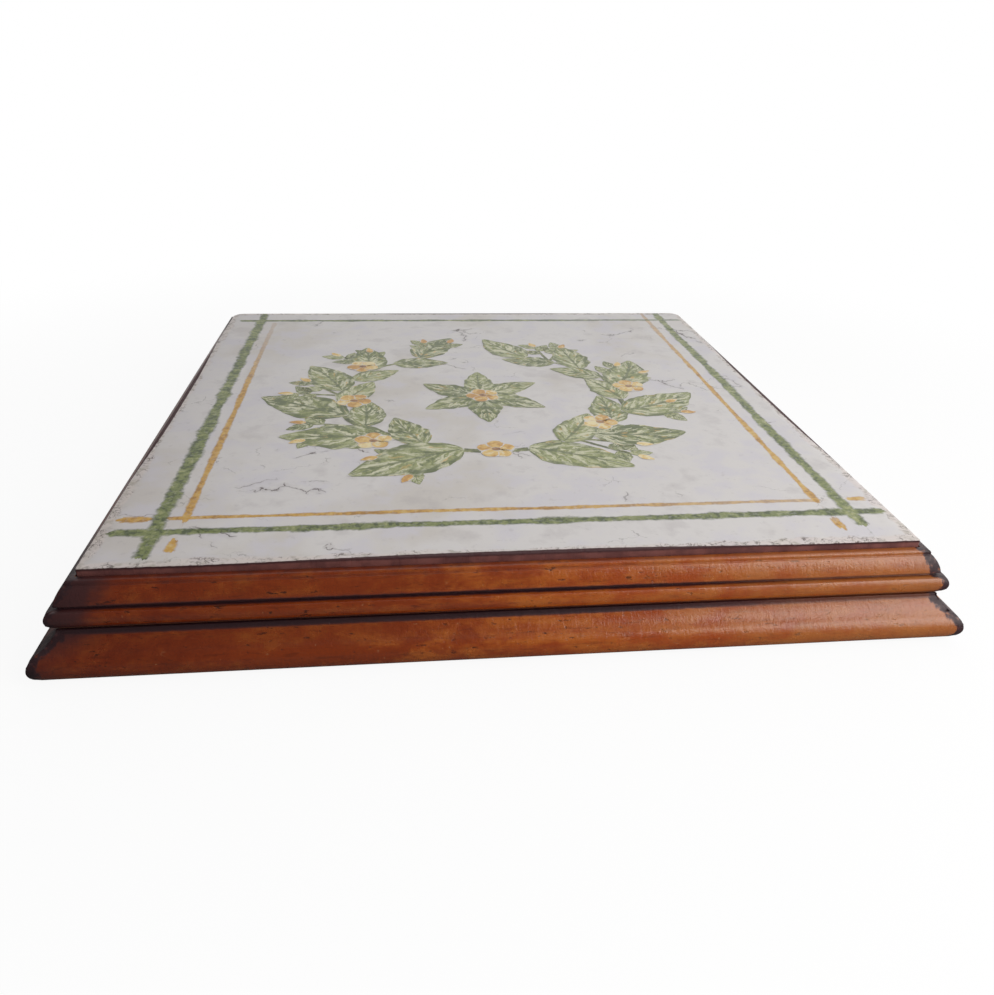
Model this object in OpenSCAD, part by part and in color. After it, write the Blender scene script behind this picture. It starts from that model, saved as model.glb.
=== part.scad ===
// Tile trivet: a square glazed tile set in a mitred wood frame of two moulded tiers.
// The front is towards -Y, and the origin lies on the table under the tile's middle.
// Sections of the frame are drawn as (reach, height): reach is measured outwards from the
// tile's side, and height is measured up from the table.

/* [Tile] */
// Side of the square tile
tile_side = 200; // [120:1:300]
// Thickness of the tile
tile_thickness = 7.5; // [6:0.5:12]
// Height of the tile's face above the frame's lip
tile_proud = 2; // [0.5:0.1:3]
// Radius of the tile's two front corners in plan
front_corner_r = 1.2; // [1:0.1:6]
// Radius of the tile's two back corners in plan
back_corner_r = 4.5; // [1:0.1:8]
// Radius of the softened edge around the tile's face
tile_edge_r = 0.8; // [0.3:0.1:0.9]
// Width of one key groove in the tile's back
key_w = 5; // [2:0.5:8]
// Depth of one key groove
key_depth = 0.6; // [0.3:0.1:1.5]
// Distance from one key groove to the next
key_pitch = 12; // [10:1:30]
// Plain border of the tile's back around the key grooves
key_border = 8; // [5:1:20]
// Thickness of the adhesive bed under the tile
bed_thickness = 0.5; // [0.3:0.1:2]
// Width of the tile's back that the bed leaves bare along each side
bed_margin = 3; // [1:0.5:5]

/* [Upper frame] */
// Gap between the tile's side and the lip
tile_gap = 0.3; // [0.1:0.1:1]
// Width of the lip beside the tile
lip_w = 1.6; // [1:0.1:4]
// Radius of the lip's softened arris
lip_r = 0.4; // [0.2:0.1:0.8]
// Drop from the lip to the step
lip_drop = 0.9; // [0.5:0.1:1.5]
// Width of the step between the lip and the ovolo
step_w = 0.4; // [0.2:0.1:1]
// Width of the ovolo
ovolo_w = 2.4; // [1.5:0.1:5]
// Height of the ovolo
ovolo_h = 3.8; // [2.5:0.1:5]
// Radius of the ovolo's curve
ovolo_r = 7; // [5:0.1:20]
// Height of the quirk between the ovolo and the bead
quirk_h = 0.7; // [0.4:0.1:1.2]
// Depth of the quirk behind the ovolo's lower edge
quirk_depth = 0.7; // [0.4:0.1:1.2]
// Radius of the bead
bead_r = 2.8; // [2.5:0.1:3.4]
// Distance that the bead stands out beyond the ovolo
bead_out = 1.9; // [1:0.1:3]
// Width of the shoulder that carries the tile's edge
shoulder_w = 10; // [6:0.5:16]

/* [Base frame] */
// Height of the base frame
base_h = 11.2; // [9:0.1:20]
// Distance that the land stands out beyond the ovolo
land_step = 0.5; // [0:0.1:1.5]
// Height of the shadow gap cut above the land
shadow_h = 0.8; // [0.3:0.1:1.2]
// Depth of the shadow gap behind the land
shadow_depth = 1.2; // [0.5:0.1:2]
// Height of the upright land below the shadow gap
land_h = 0.5; // [0.2:0.1:1.5]
// Distance that the toe stands out beyond the land
flare = 5.8; // [4.6:0.1:15]
// Radius of the rounded toe
toe_r = 3.7; // [2.5:0.1:4.4]
// Height of the toe's middle above the frame's underside
toe_mid_h = 3; // [2:0.1:4]
// Radius of the cove between the land and the toe
cove_r = 8.8; // [6:0.1:20]
// Width of the ledge that carries the backing board
ledge_w = 6; // [4:0.5:12]

/* [Backing board and fasteners] */
// Thickness of the backing board and of the shoulder around it
board_thickness = 4; // [3:0.5:8]
// Gap between the backing board's edge and the shoulder
board_gap = 0.3; // [0.1:0.1:1]
// Diameter of the wire of a board pin
pin_d = 1; // [0.8:0.1:1.2]
// Diameter of a board pin's head
pin_head_d = 2.2; // [1.8:0.1:3]
// Thickness of a board pin's head
pin_head_t = 0.4; // [0.3:0.1:0.8]
// Length of a board pin
pin_length = 8; // [7:0.5:12]
// Diameter of the wire of a frame brad
brad_d = 1.2; // [0.8:0.1:1.6]
// Diameter of a frame brad's head
brad_head_d = 2; // [1.8:0.1:2.6]
// Thickness of a frame brad's head
brad_head_t = 0.8; // [0.4:0.1:1.2]
// Depth to which a frame brad's head is set below the underside
brad_set = 1; // [0.5:0.1:2]
// Length of a frame brad that holds in the upper frame
brad_hold = 4; // [3:0.5:5]
// Thickness of the strip steel of a mitre nail
nail_t = 0.5; // [0.3:0.1:0.8]
// Length of one leg of a mitre nail
nail_leg = 4.5; // [3:0.5:6]
// Length of the bent end of each leg
nail_return = 1; // [0.6:0.1:1.4]
// Height of a mitre nail in the upper frame
upper_nail_h = 2.6; // [2:0.1:2.8]
// Height of a mitre nail in the base frame
base_nail_h = 8; // [4:0.5:8.5]
// Depth to which a mitre nail is set below the wood
nail_set = 0.3; // [0.1:0.1:0.5]
// Clearance between a fastener and its hole on each side
fastener_fit = 0.05; // [0.02:0.01:0.1]

/* [Pads] */
// Diameter of a felt pad
pad_d = 16; // [8:0.5:20]
// Thickness of a felt pad
pad_t = 1; // [0.5:0.1:4]

/* [Hidden] */
$fn = 96;

// Turns of the four sides about the vertical: front, right, back, left
FRONT = 0;
RIGHT = 90;
BACK = 180;
LEFT = 270;
SIDES = [FRONT, RIGHT, BACK, LEFT];

// Overrun of every cut
overrun = 0.5;
half_side = tile_side / 2;
// Places of the brads and pins along a rail, as shares of the tile's side
fastener_shares = [-0.3, 0, 0.3];
// Height of the bead's middle, as a share of the height left under the quirk
bead_mid_share = 0.54;

// Heights above the table
base_z = pad_t;
joint_z = base_z + base_h;
shoulder_z = joint_z + board_thickness;
tile_z = shoulder_z + bed_thickness;
face_z = tile_z + tile_thickness;
lip_z = face_z - tile_proud;
ovolo_top_z = lip_z - lip_drop;
ovolo_low_z = ovolo_top_z - ovolo_h;
quirk_low_z = ovolo_low_z - quirk_h;
bead_z = joint_z + (quirk_low_z - joint_z) * bead_mid_share;
land_top_z = joint_z - shadow_h;
land_low_z = land_top_z - land_h;
toe_z = base_z + toe_mid_h;

// Reaches beyond the tile's side
lip_reach = tile_gap + lip_w;
step_reach = lip_reach + step_w;
ovolo_reach = step_reach + ovolo_w;
neck_reach = ovolo_reach - quirk_depth;
bead_reach = ovolo_reach + bead_out;
land_reach = ovolo_reach + land_step;
toe_reach = land_reach + flare;
ledge_reach = -(shoulder_w + ledge_w);
stem_reach = (tile_gap + neck_reach) / 2;
// Middle of the backing board's bearing on the ledge
pin_reach = -(2 * shoulder_w + board_gap + ledge_w) / 2;
upper_nail_reaches = [-shoulder_w / 2, stem_reach];
base_nail_reaches = [-shoulder_w, stem_reach];
frame_half = half_side + toe_reach;

// Centre of a circle of radius a through p that lies b from q, to one side of the line p to q
function arc_centre(p, q, a, b, side) =
    let (
        gap = norm(q - p),
        unit = (q - p) / gap,
        along = (a * a - b * b + gap * gap) / (2 * gap),
        off = sqrt(a * a - along * along)
    )
    p + along * unit + side * off * [-unit.y, unit.x];

ovolo_top = [step_reach, ovolo_top_z];
ovolo_low = [ovolo_reach, ovolo_low_z];
ovolo_mid = arc_centre(ovolo_top, ovolo_low, ovolo_r, ovolo_r, -1);
toe_mid = [toe_reach - toe_r, toe_z];
cove_top = [land_reach, land_low_z];
cove_mid = arc_centre(cove_top, toe_mid, cove_r, cove_r + toe_r, 1);
cove_low = toe_mid + toe_r * (cove_mid - toe_mid) / norm(cove_mid - toe_mid);

// Rectangle from one corner to the opposite one
module box_2d(low, high) {
    translate(low) square(high - low);
}

// Section of a plate's edge: full height, with the top edge rounded
module edge_section(width) {
    intersection() {
        union() {
            box_2d([0, 0], [width, tile_thickness - tile_edge_r]);
            box_2d([0, 0], [width - tile_edge_r, tile_thickness]);
            translate([width - tile_edge_r, tile_thickness - tile_edge_r]) circle(r = tile_edge_r);
        }
        box_2d([0, 0], [width + overrun, tile_thickness + overrun]);
    }
}

// Corner of the tile: a disc whose top edge is rounded
module tile_corner(place, radius) {
    translate([place.x, place.y, 0]) rotate_extrude() edge_section(radius);
}

// Side of the tile between two corners, with its face's edge along the given side
module tile_bar(side, from, to, width) {
    rotate(side)
        translate([from, width - half_side, 0])
            rotate([90, 0, 90]) mirror([1, 0, 0]) linear_extrude(to - from) edge_section(width);
}

module tile_plate() {
    front = half_side - front_corner_r;
    back = half_side - back_corner_r;
    tile_corner([-front, -front], front_corner_r);
    tile_corner([front, -front], front_corner_r);
    tile_corner([back, back], back_corner_r);
    tile_corner([-back, back], back_corner_r);
    tile_bar(FRONT, -front, front, front_corner_r);
    tile_bar(BACK, -back, back, back_corner_r);
    wide = max(front_corner_r, back_corner_r);
    tile_bar(RIGHT, -front, back, wide);
    tile_bar(LEFT, -back, front, wide);
    linear_extrude(tile_thickness)
        polygon([[-front, -front], [front, -front], [back, back], [-back, back]]);
}

// Bars across the tile's back, as the grooves or as the adhesive that fills them
module key_bars(height) {
    span = tile_side - 2 * key_border;
    last = floor((span - key_w) / key_pitch);
    for (i = [0 : last])
        translate([-span / 2, (i - last / 2) * key_pitch - key_w / 2, 0])
            cube([span, key_w, height]);
}

module tile() {
    color("#cbc6c2")
        translate([0, 0, tile_z])
            difference() {
                tile_plate();
                translate([0, 0, -overrun]) key_bars(key_depth + overrun);
            }
}

module tile_adhesive() {
    side = tile_side - 2 * bed_margin;
    color("#b9b2a4") {
        translate([-side / 2, -side / 2, shoulder_z]) cube([side, side, bed_thickness]);
        translate([0, 0, tile_z]) key_bars(key_depth);
    }
}

// Section of the upper frame: shoulder, stem, lip, ovolo and bead
module upper_section() {
    box_2d([-shoulder_w, joint_z], [neck_reach, shoulder_z]);
    box_2d([tile_gap, joint_z], [neck_reach, ovolo_low_z]);
    box_2d([tile_gap, joint_z], [lip_reach, lip_z - lip_r]);
    box_2d([tile_gap, joint_z], [lip_reach - lip_r, lip_z]);
    translate([lip_reach - lip_r, lip_z - lip_r]) circle(r = lip_r);
    intersection() {
        translate(ovolo_mid) circle(r = ovolo_r);
        box_2d([tile_gap, ovolo_low_z], [bead_reach, ovolo_top_z]);
    }
    intersection() {
        translate([bead_reach - bead_r, bead_z]) circle(r = bead_r);
        box_2d([tile_gap, joint_z], [bead_reach + overrun, quirk_low_z]);
    }
}

// Section of the base frame: body, shadow gap, land, cove and toe
module base_section() {
    box_2d([ledge_reach, base_z], [land_reach - shadow_depth, joint_z]);
    box_2d([ledge_reach, base_z], [land_reach, land_top_z]);
    difference() {
        box_2d([ledge_reach, base_z], [cove_low.x, land_low_z]);
        translate(cove_mid) circle(r = cove_r);
    }
    intersection() {
        translate(toe_mid) circle(r = toe_r);
        box_2d([ledge_reach, base_z], toe_mid + 2 * [toe_r, toe_r]);
    }
}

// Front rail of the given section, cut at 45 degrees at both ends
module mitred_bar() {
    reach = frame_half + overrun;
    intersection() {
        translate([0, -half_side, 0])
            rotate([90, 0, -90]) linear_extrude(2 * reach, center = true) children();
        linear_extrude(face_z) polygon([[0, 0], [reach, -reach], [-reach, -reach]]);
    }
}

// Stands its children at each brad's place along the front rail, at the given reach
module along_front(reach) {
    for (share = fastener_shares) translate([share * tile_side, -half_side - reach, 0]) children();
}

// One leg of a mitre nail in plan, along X, with its bent end
module nail_leg_plan(fit) {
    low = -nail_t / 2 - fit;
    high = nail_t / 2 + fit;
    box_2d([low, low], [nail_leg + high, high]);
    box_2d([nail_leg + low, low], [nail_leg + high, nail_return + high]);
}

// Plan of a mitre nail: two legs that meet on the mitre, each along its own rail
module mitre_nail_plan(fit) {
    nail_leg_plan(fit);
    mirror([1, -1]) nail_leg_plan(fit);
}

// Mitre nails of the front left corner, at each given reach
module mitre_nails(reaches, bottom, height, fit) {
    for (reach = reaches)
        translate([-half_side - reach, -half_side - reach, bottom])
            linear_extrude(height) mitre_nail_plan(fit);
}

module upper_nail_slots() {
    for (corner = [FRONT, RIGHT])
        rotate(corner)
            mitre_nails(upper_nail_reaches, joint_z - overrun,
                overrun + nail_set + upper_nail_h + fastener_fit, fastener_fit);
}

module base_nail_slots() {
    for (corner = [FRONT, RIGHT])
        rotate(corner)
            mitre_nails(base_nail_reaches, base_z - overrun,
                overrun + nail_set + base_nail_h + fastener_fit, fastener_fit);
}

module upper_rail(side) {
    rotate(side)
        difference() {
            mitred_bar() upper_section();
            upper_nail_slots();
            along_front(stem_reach)
                translate([0, 0, joint_z - overrun])
                    cylinder(d = brad_d + 2 * fastener_fit, h = overrun + brad_hold + fastener_fit);
        }
}

module base_rail(side) {
    rotate(side)
        difference() {
            mitred_bar() base_section();
            base_nail_slots();
            along_front(stem_reach) {
                translate([0, 0, base_z - overrun])
                    cylinder(d = brad_d + 2 * fastener_fit, h = base_h + 2 * overrun);
                translate([0, 0, base_z - overrun])
                    cylinder(d = brad_head_d + 2 * fastener_fit,
                        h = overrun + brad_set + brad_head_t);
            }
            along_front(pin_reach)
                translate([0, 0, shoulder_z - pin_length - fastener_fit])
                    cylinder(d = pin_d + 2 * fastener_fit, h = pin_length);
        }
}

module backing_board() {
    side = tile_side - 2 * (shoulder_w + board_gap);
    color("#b58a5c")
        difference() {
            translate([-side / 2, -side / 2, joint_z]) cube([side, side, board_thickness]);
            for (turn = SIDES)
                rotate(turn)
                    along_front(pin_reach) {
                        translate([0, 0, joint_z - overrun])
                            cylinder(d = pin_d + 2 * fastener_fit, h = board_thickness + 2 * overrun);
                        translate([0, 0, shoulder_z - pin_head_t])
                            cylinder(d = pin_head_d + 2 * fastener_fit, h = pin_head_t + overrun);
                    }
        }
}

module board_pins() {
    color("#a9a59c")
        for (turn = SIDES)
            rotate(turn)
                along_front(pin_reach) {
                    translate([0, 0, shoulder_z - pin_length]) cylinder(d = pin_d, h = pin_length);
                    translate([0, 0, shoulder_z - pin_head_t]) cylinder(d = pin_head_d, h = pin_head_t);
                }
}

module frame_brads() {
    color("#8f8c86")
        for (turn = SIDES)
            rotate(turn)
                along_front(stem_reach)
                    translate([0, 0, base_z + brad_set]) {
                        cylinder(d = brad_head_d, h = brad_head_t);
                        cylinder(d = brad_d, h = base_h - brad_set + brad_hold);
                    }
}

module upper_mitre_nails() {
    color("#8f8c86")
        for (turn = SIDES)
            rotate(turn) mitre_nails(upper_nail_reaches, joint_z + nail_set, upper_nail_h, 0);
}

module base_mitre_nails() {
    color("#8f8c86")
        for (turn = SIDES)
            rotate(turn) mitre_nails(base_nail_reaches, base_z + nail_set, base_nail_h, 0);
}

module upper_rail_front() { color("#8c4a26") upper_rail(FRONT); }
module upper_rail_right() { color("#8c4a26") upper_rail(RIGHT); }
module upper_rail_back() { color("#8c4a26") upper_rail(BACK); }
module upper_rail_left() { color("#8c4a26") upper_rail(LEFT); }
module base_rail_front() { color("#74361b") base_rail(FRONT); }
module base_rail_right() { color("#74361b") base_rail(RIGHT); }
module base_rail_back() { color("#74361b") base_rail(BACK); }
module base_rail_left() { color("#74361b") base_rail(LEFT); }

// Felt pad under the front left corner, turned to the corner that is asked for
module felt_pad(corner) {
    middle = half_side + (toe_mid.x + ledge_reach) / 2;
    color("#3f3d3a") rotate(corner) translate([-middle, -middle, 0]) cylinder(d = pad_d, h = pad_t);
}

module felt_pad_front_left() { felt_pad(FRONT); }
module felt_pad_front_right() { felt_pad(RIGHT); }
module felt_pad_back_right() { felt_pad(BACK); }
module felt_pad_back_left() { felt_pad(LEFT); }

tile();
tile_adhesive();
backing_board();
upper_rail_front();
upper_rail_right();
upper_rail_back();
upper_rail_left();
base_rail_front();
base_rail_right();
base_rail_back();
base_rail_left();
upper_mitre_nails();
base_mitre_nails();
frame_brads();
board_pins();
felt_pad_front_left();
felt_pad_front_right();
felt_pad_back_right();
felt_pad_back_left();
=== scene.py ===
"""A tile trivet: a square glazed tile with a painted face, set in a mitred wood frame.

The sizes are in metres. The front is towards -Y, and the table is at z = 0.
"""

import logging
import math
import random
from collections.abc import Callable, Iterable
from dataclasses import dataclass, field
from enum import Enum
from functools import cached_property

import bpy
from mathutils import Matrix, Vector, noise


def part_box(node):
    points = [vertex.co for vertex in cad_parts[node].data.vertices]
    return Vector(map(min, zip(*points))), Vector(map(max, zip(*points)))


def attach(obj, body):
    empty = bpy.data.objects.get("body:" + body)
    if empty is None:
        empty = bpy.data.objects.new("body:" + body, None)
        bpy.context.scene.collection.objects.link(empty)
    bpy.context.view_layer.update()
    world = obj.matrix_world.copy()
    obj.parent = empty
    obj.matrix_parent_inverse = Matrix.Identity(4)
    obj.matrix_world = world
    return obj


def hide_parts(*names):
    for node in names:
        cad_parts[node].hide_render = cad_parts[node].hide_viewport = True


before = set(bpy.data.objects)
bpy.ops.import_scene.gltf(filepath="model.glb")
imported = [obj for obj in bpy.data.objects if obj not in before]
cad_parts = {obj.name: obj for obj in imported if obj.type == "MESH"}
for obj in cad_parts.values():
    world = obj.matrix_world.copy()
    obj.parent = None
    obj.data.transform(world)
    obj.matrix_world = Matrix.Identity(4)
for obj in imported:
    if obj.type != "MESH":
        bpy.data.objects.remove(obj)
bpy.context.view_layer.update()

LOG = logging.getLogger("trivet")
MM = 0.001
BODY = "root"

Colour = tuple[float, float, float]
Socket = bpy.types.NodeSocket
Inputs = dict[str | int, object]

EVEN = (1.0, 1.0, 1.0)
WHITE = (1.0, 1.0, 1.0)


def srgb(red: int, green: int, blue: int) -> Colour:
    """Converts a colour from screen values to linear light.

    Args:
        red: Red, 0 to 255.
        green: Green, 0 to 255.
        blue: Blue, 0 to 255.

    Returns:
        The linear colour.
    """

    def linear(value: int) -> float:
        """Converts one channel."""
        share = value / 255
        return share / 12.92 if share <= 0.04045 else ((share + 0.055) / 1.055) ** 2.4

    return (linear(red), linear(green), linear(blue))


def smooth_step(value: float, low: float, high: float) -> float:
    """Eases from 0 at low to 1 at high."""
    share = min(max((value - low) / (high - low), 0.0), 1.0)
    return share * share * (3 - 2 * share)


class Side(Enum):
    """A side of the frame, with its turn about the vertical from the front."""

    FRONT = 0
    RIGHT = 90
    BACK = 180
    LEFT = 270

    @property
    def label(self) -> str:
        """The side's name in lower case."""
        return self.name.lower()

    @property
    def turn(self) -> Matrix:
        """The turn that takes the front to this side."""
        return Matrix.Rotation(math.radians(self.value), 4, "Z")

    @property
    def grain_turn(self) -> float:
        """The turn that lays the grain's long axis along this side, in radians."""
        return math.radians(self.value)


# Node trees


@dataclass(frozen=True)
class Cloud:
    """A cloudy noise: features per metre, finer layers, their strength, bend and stretch."""

    scale: float
    detail: float = 3.0
    rough: float = 0.55
    warp: float = 0.0
    stretch: Colour = EVEN


class Bench:
    """Adds nodes to one node tree and links them."""

    def __init__(self, tree: bpy.types.NodeTree) -> None:
        """Starts on an empty tree.

        Args:
            tree: The tree that the nodes go into.
        """
        self.tree = tree
        tree.nodes.clear()

    @cached_property
    def place(self) -> Socket:
        """The piece's own coordinates, in metres."""
        return self.add("ShaderNodeTexCoord").outputs["Object"]

    def put(self, target: Socket, value: object) -> None:
        """Links a socket into an input, or sets the input. A colour gets its alpha here."""
        if isinstance(value, bpy.types.NodeSocket):
            self.tree.links.new(value, target)
        elif isinstance(value, tuple) and len(target.default_value) > len(value):
            target.default_value = (*value, 1.0)
        else:
            target.default_value = value

    def add(self, kind: str, inputs: Inputs | None = None, **settings: object) -> bpy.types.Node:
        """Adds one node.

        Args:
            kind: The node's type name.
            inputs: Values or sockets for its inputs, by name or number.
            settings: Properties of the node itself.

        Returns:
            The new node.
        """
        node = self.tree.nodes.new(kind)
        for name, value in settings.items():
            setattr(node, name, value)
        for key, value in (inputs or {}).items():
            self.put(node.inputs[key], value)
        return node

    def math(self, operation: str, *values: object) -> Socket:
        """Works out a sum of values or sockets, from the first to the last.

        Args:
            operation: The Math node's operation.
            values: The values or sockets, one or more.

        Returns:
            The result's socket.
        """
        result, *others = values
        for other in others or [0.0]:
            result = self.add("ShaderNodeMath", {0: result, 1: other}, operation=operation).outputs[0]
        return result

    def plus(self, *values: object) -> Socket:
        """Adds values or sockets."""
        return self.math("ADD", *values)

    def minus(self, first: object, second: object) -> Socket:
        """Takes the second value or socket from the first."""
        return self.math("SUBTRACT", first, second)

    def times(self, *values: object) -> Socket:
        """Multiplies values or sockets."""
        return self.math("MULTIPLY", *values)

    def most(self, *values: object) -> Socket:
        """Takes the largest of values or sockets."""
        return self.math("MAXIMUM", *values)

    def size(self, value: Socket) -> Socket:
        """Drops a value's sign."""
        return self.math("ABSOLUTE", value)

    def centred(self, value: Socket) -> Socket:
        """Moves the average of a noise from 0.5 to 0."""
        return self.minus(value, 0.5)

    def ease(self, value: Socket, low: float, high: float, start: float = 0.0, end: float = 1.0) -> Socket:
        """Eases a value from start at low to end at high, and holds it beyond.

        Args:
            value: The value's socket.
            low: Where the change begins.
            high: Where the change ends.
            start: The result at low.
            end: The result at high.

        Returns:
            The result's socket.
        """
        inputs = {"Value": value, "From Min": low, "From Max": high, "To Min": start, "To Max": end}
        node = self.add("ShaderNodeMapRange", inputs, interpolation_type="SMOOTHSTEP", clamp=True)
        return node.outputs["Result"]

    def mix(self, share: object, first: object, second: object, blend: str = "MIX") -> Socket:
        """Mixes two colours.

        Args:
            share: How much of the second, as a value or socket.
            first: The first colour or socket.
            second: The second colour or socket.
            blend: The way in which they are mixed.

        Returns:
            The mixed colour's socket.
        """
        inputs = {0: share, 6: first, 7: second}
        node = self.add("ShaderNodeMix", data_type="RGBA", blend_type=blend, clamp_factor=True)
        for key, value in inputs.items():
            self.put(node.inputs[key], value)
        return node.outputs[2]

    def tinge(
        self, base: Socket, tint: Colour, value: Socket, low: float, high: float, most: float = 1.0
    ) -> Socket:
        """Mixes a second colour in as a value goes from low to high.

        Args:
            base: The first colour's socket.
            tint: The second colour.
            value: The value's socket.
            low: Where the second colour begins.
            high: Where it is at its fullest.
            most: Its fullest share.

        Returns:
            The mixed colour's socket.
        """
        return self.mix(self.ease(value, low, high, 0.0, most), base, tint)

    def noise(
        self, cloud: Cloud, place: Socket | None = None, turn: float = 0.0, shift: Colour = (0.0, 0.0, 0.0)
    ) -> Socket:
        """Adds cloudy noise.

        Args:
            cloud: The noise's settings.
            place: The coordinates' socket, if they aren't the piece's own.
            turn: The turn of its stretch about the vertical, in radians.
            shift: The move of a stretched noise along each axis, in metres.

        Returns:
            The noise's value socket, about 0.5 on average.
        """
        place = place or self.place
        if cloud.stretch != EVEN:
            place = self.mapped(place, cloud.stretch, turn, shift)
        inputs = {"Vector": place, "Scale": cloud.scale, "Detail": cloud.detail}
        inputs |= {"Roughness": cloud.rough, "Distortion": cloud.warp}
        return self.add("ShaderNodeTexNoise", inputs).outputs["Fac"]

    def mapped(
        self, place: Socket, scale: Colour, turn: float = 0.0, shift: Colour = (0.0, 0.0, 0.0)
    ) -> Socket:
        """Turns, stretches and moves coordinates.

        Args:
            place: The coordinates' socket.
            scale: The stretch along each axis.
            turn: The turn about the vertical, in radians.
            shift: The move along each axis, in metres.

        Returns:
            The new coordinates' socket.
        """
        inputs = {"Vector": place, "Location": shift, "Rotation": (0.0, 0.0, -turn)}
        turned = self.add("ShaderNodeMapping", inputs).outputs[0]
        return self.add("ShaderNodeMapping", {"Vector": turned, "Scale": scale}).outputs[0]

    def split(self, place: Socket) -> list[Socket]:
        """Splits coordinates into their three values."""
        return list(self.add("ShaderNodeSeparateXYZ", {0: place}).outputs)

    def attribute(self, name: str) -> Socket:
        """Reads a number that the mesh holds at each point."""
        node = self.add("ShaderNodeAttribute", attribute_name=name, attribute_type="GEOMETRY")
        return node.outputs["Fac"]

    def bump(self, height: Socket, depth: float, strength: float) -> Socket:
        """Turns a height into a bumpy surface.

        Args:
            height: The height's socket, in units of depth.
            depth: The depth of one unit, in metres.
            strength: The share of the full bump.

        Returns:
            The normal's socket.
        """
        inputs = {"Height": height, "Distance": depth, "Strength": strength}
        return self.add("ShaderNodeBump", inputs).outputs["Normal"]


def new_bench(name: str) -> tuple[bpy.types.Material, Bench]:
    """Starts a material.

    Args:
        name: The material's name.

    Returns:
        The material and the bench for its nodes.
    """
    material = bpy.data.materials.new(name)
    material.use_nodes = True
    return material, Bench(material.node_tree)


def finish_surface(bench: Bench, colour: Socket, rough: object, normal: Socket, **fixed: float) -> None:
    """Adds the surface shader and the output.

    Args:
        bench: The material's bench.
        colour: The base colour's socket.
        rough: The roughness or its socket.
        normal: The bumpy surface's normal.
        fixed: Values that are the same all over, by socket name with underscores for spaces.
    """
    inputs = {"Base Color": colour, "Roughness": rough, "Normal": normal}
    inputs |= {name.replace("_", " "): value for name, value in fixed.items()}
    shader = bench.add("ShaderNodeBsdfPrincipled", inputs)
    bench.add("ShaderNodeOutputMaterial", {"Surface": shader.outputs[0]})


# Modelling helpers


def deselect() -> None:
    """Leaves edit mode and deselects everything."""
    if bpy.context.object and bpy.context.object.mode != "OBJECT":
        bpy.ops.object.mode_set(mode="OBJECT")
    bpy.ops.object.select_all(action="DESELECT")


def activate(piece: bpy.types.Object) -> None:
    """Makes one object the only one selected."""
    deselect()
    piece.select_set(True)
    bpy.context.view_layer.objects.active = piece


def pick(piece: bpy.types.Object, mode: str, wanted: Callable[[list[Vector]], bool]) -> None:
    """Selects vertices, edges or faces by their place, and stays in edit mode.

    Args:
        piece: The object being edited.
        mode: VERT, EDGE or FACE.
        wanted: Takes an element's corner points and says whether it is selected.
    """
    bpy.ops.object.mode_set(mode="EDIT")
    bpy.ops.mesh.select_mode(type=mode)
    bpy.ops.mesh.select_all(action="DESELECT")
    bpy.ops.object.mode_set(mode="OBJECT")
    mesh = piece.data
    points = [vertex.co.copy() for vertex in mesh.vertices]
    if mode == "VERT":
        for vertex in mesh.vertices:
            vertex.select = wanted([points[vertex.index]])
    else:
        for element in mesh.edges if mode == "EDGE" else mesh.polygons:
            element.select = wanted([points[i] for i in element.vertices])
    bpy.ops.object.mode_set(mode="EDIT")


def reshape(piece: bpy.types.Object, place: Callable[[Vector], Vector]) -> None:
    """Moves each vertex of a mesh to a new place."""
    for vertex in piece.data.vertices:
        vertex.co = place(vertex.co.copy())
    piece.data.update()


def write_attribute(piece: bpy.types.Object, name: str, value: Callable[[Vector], float]) -> None:
    """Gives each vertex of a mesh a number that a material can read."""
    attribute = piece.data.attributes.new(name, "FLOAT", "POINT")
    attribute.data.foreach_set("value", [value(vertex.co) for vertex in piece.data.vertices])


def smooth_shade(piece: bpy.types.Object, angle: float = 35.0) -> None:
    """Shades a mesh smooth, with edges sharper than the angle kept sharp."""
    activate(piece)
    bpy.ops.object.shade_smooth_by_angle(angle=math.radians(angle))


def edit_all(piece: bpy.types.Object) -> None:
    """Enters edit mode with the whole mesh selected."""
    activate(piece)
    bpy.ops.object.mode_set(mode="EDIT")
    bpy.ops.mesh.select_all(action="SELECT")


def close_up(piece: bpy.types.Object) -> None:
    """Turns all faces of a mesh outwards."""
    edit_all(piece)
    bpy.ops.mesh.normals_make_consistent(inside=False)
    bpy.ops.object.mode_set(mode="OBJECT")


def copy_piece(piece: bpy.types.Object, name: str, move: Matrix) -> bpy.types.Object:
    """Copies an object with its own mesh.

    Args:
        piece: The object to copy.
        name: The copy's name.
        move: The move applied to the copy's mesh.

    Returns:
        The copy.
    """
    copy = piece.copy()
    copy.data = piece.data.copy()
    copy.name = name
    bpy.context.collection.objects.link(copy)
    copy.data.transform(move)
    return copy


def dress(piece: bpy.types.Object, material: bpy.types.Material) -> None:
    """Gives an object one material."""
    piece.data.materials.clear()
    piece.data.materials.append(material)


def hand_over(piece: bpy.types.Object, slot: str, *nodes: str) -> None:
    """Rides a finished piece on the body and hides the solids that it replaces.

    Args:
        piece: The finished piece.
        slot: Not used.
        nodes: The solids that it replaces.
    """
    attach(piece, BODY)
    if nodes:
        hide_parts(*nodes)
    LOG.info("%s: %d faces", piece.name, len(piece.data.polygons))


# The wood frame


def turned_arc(middle: Vector, start: Vector, end: Vector, steps: int) -> list[Vector]:
    """Lays points along an arc, without its start.

    Args:
        middle: The arc's centre.
        start: Where the arc begins.
        end: Where the arc ends.
        steps: How many points are laid.

    Returns:
        The points, the end among them.
    """
    first = start - middle
    angle = first.angle_signed(end - middle)
    return [middle + Matrix.Rotation(-angle * (i + 1) / steps, 2) @ first for i in range(steps)]


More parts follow.
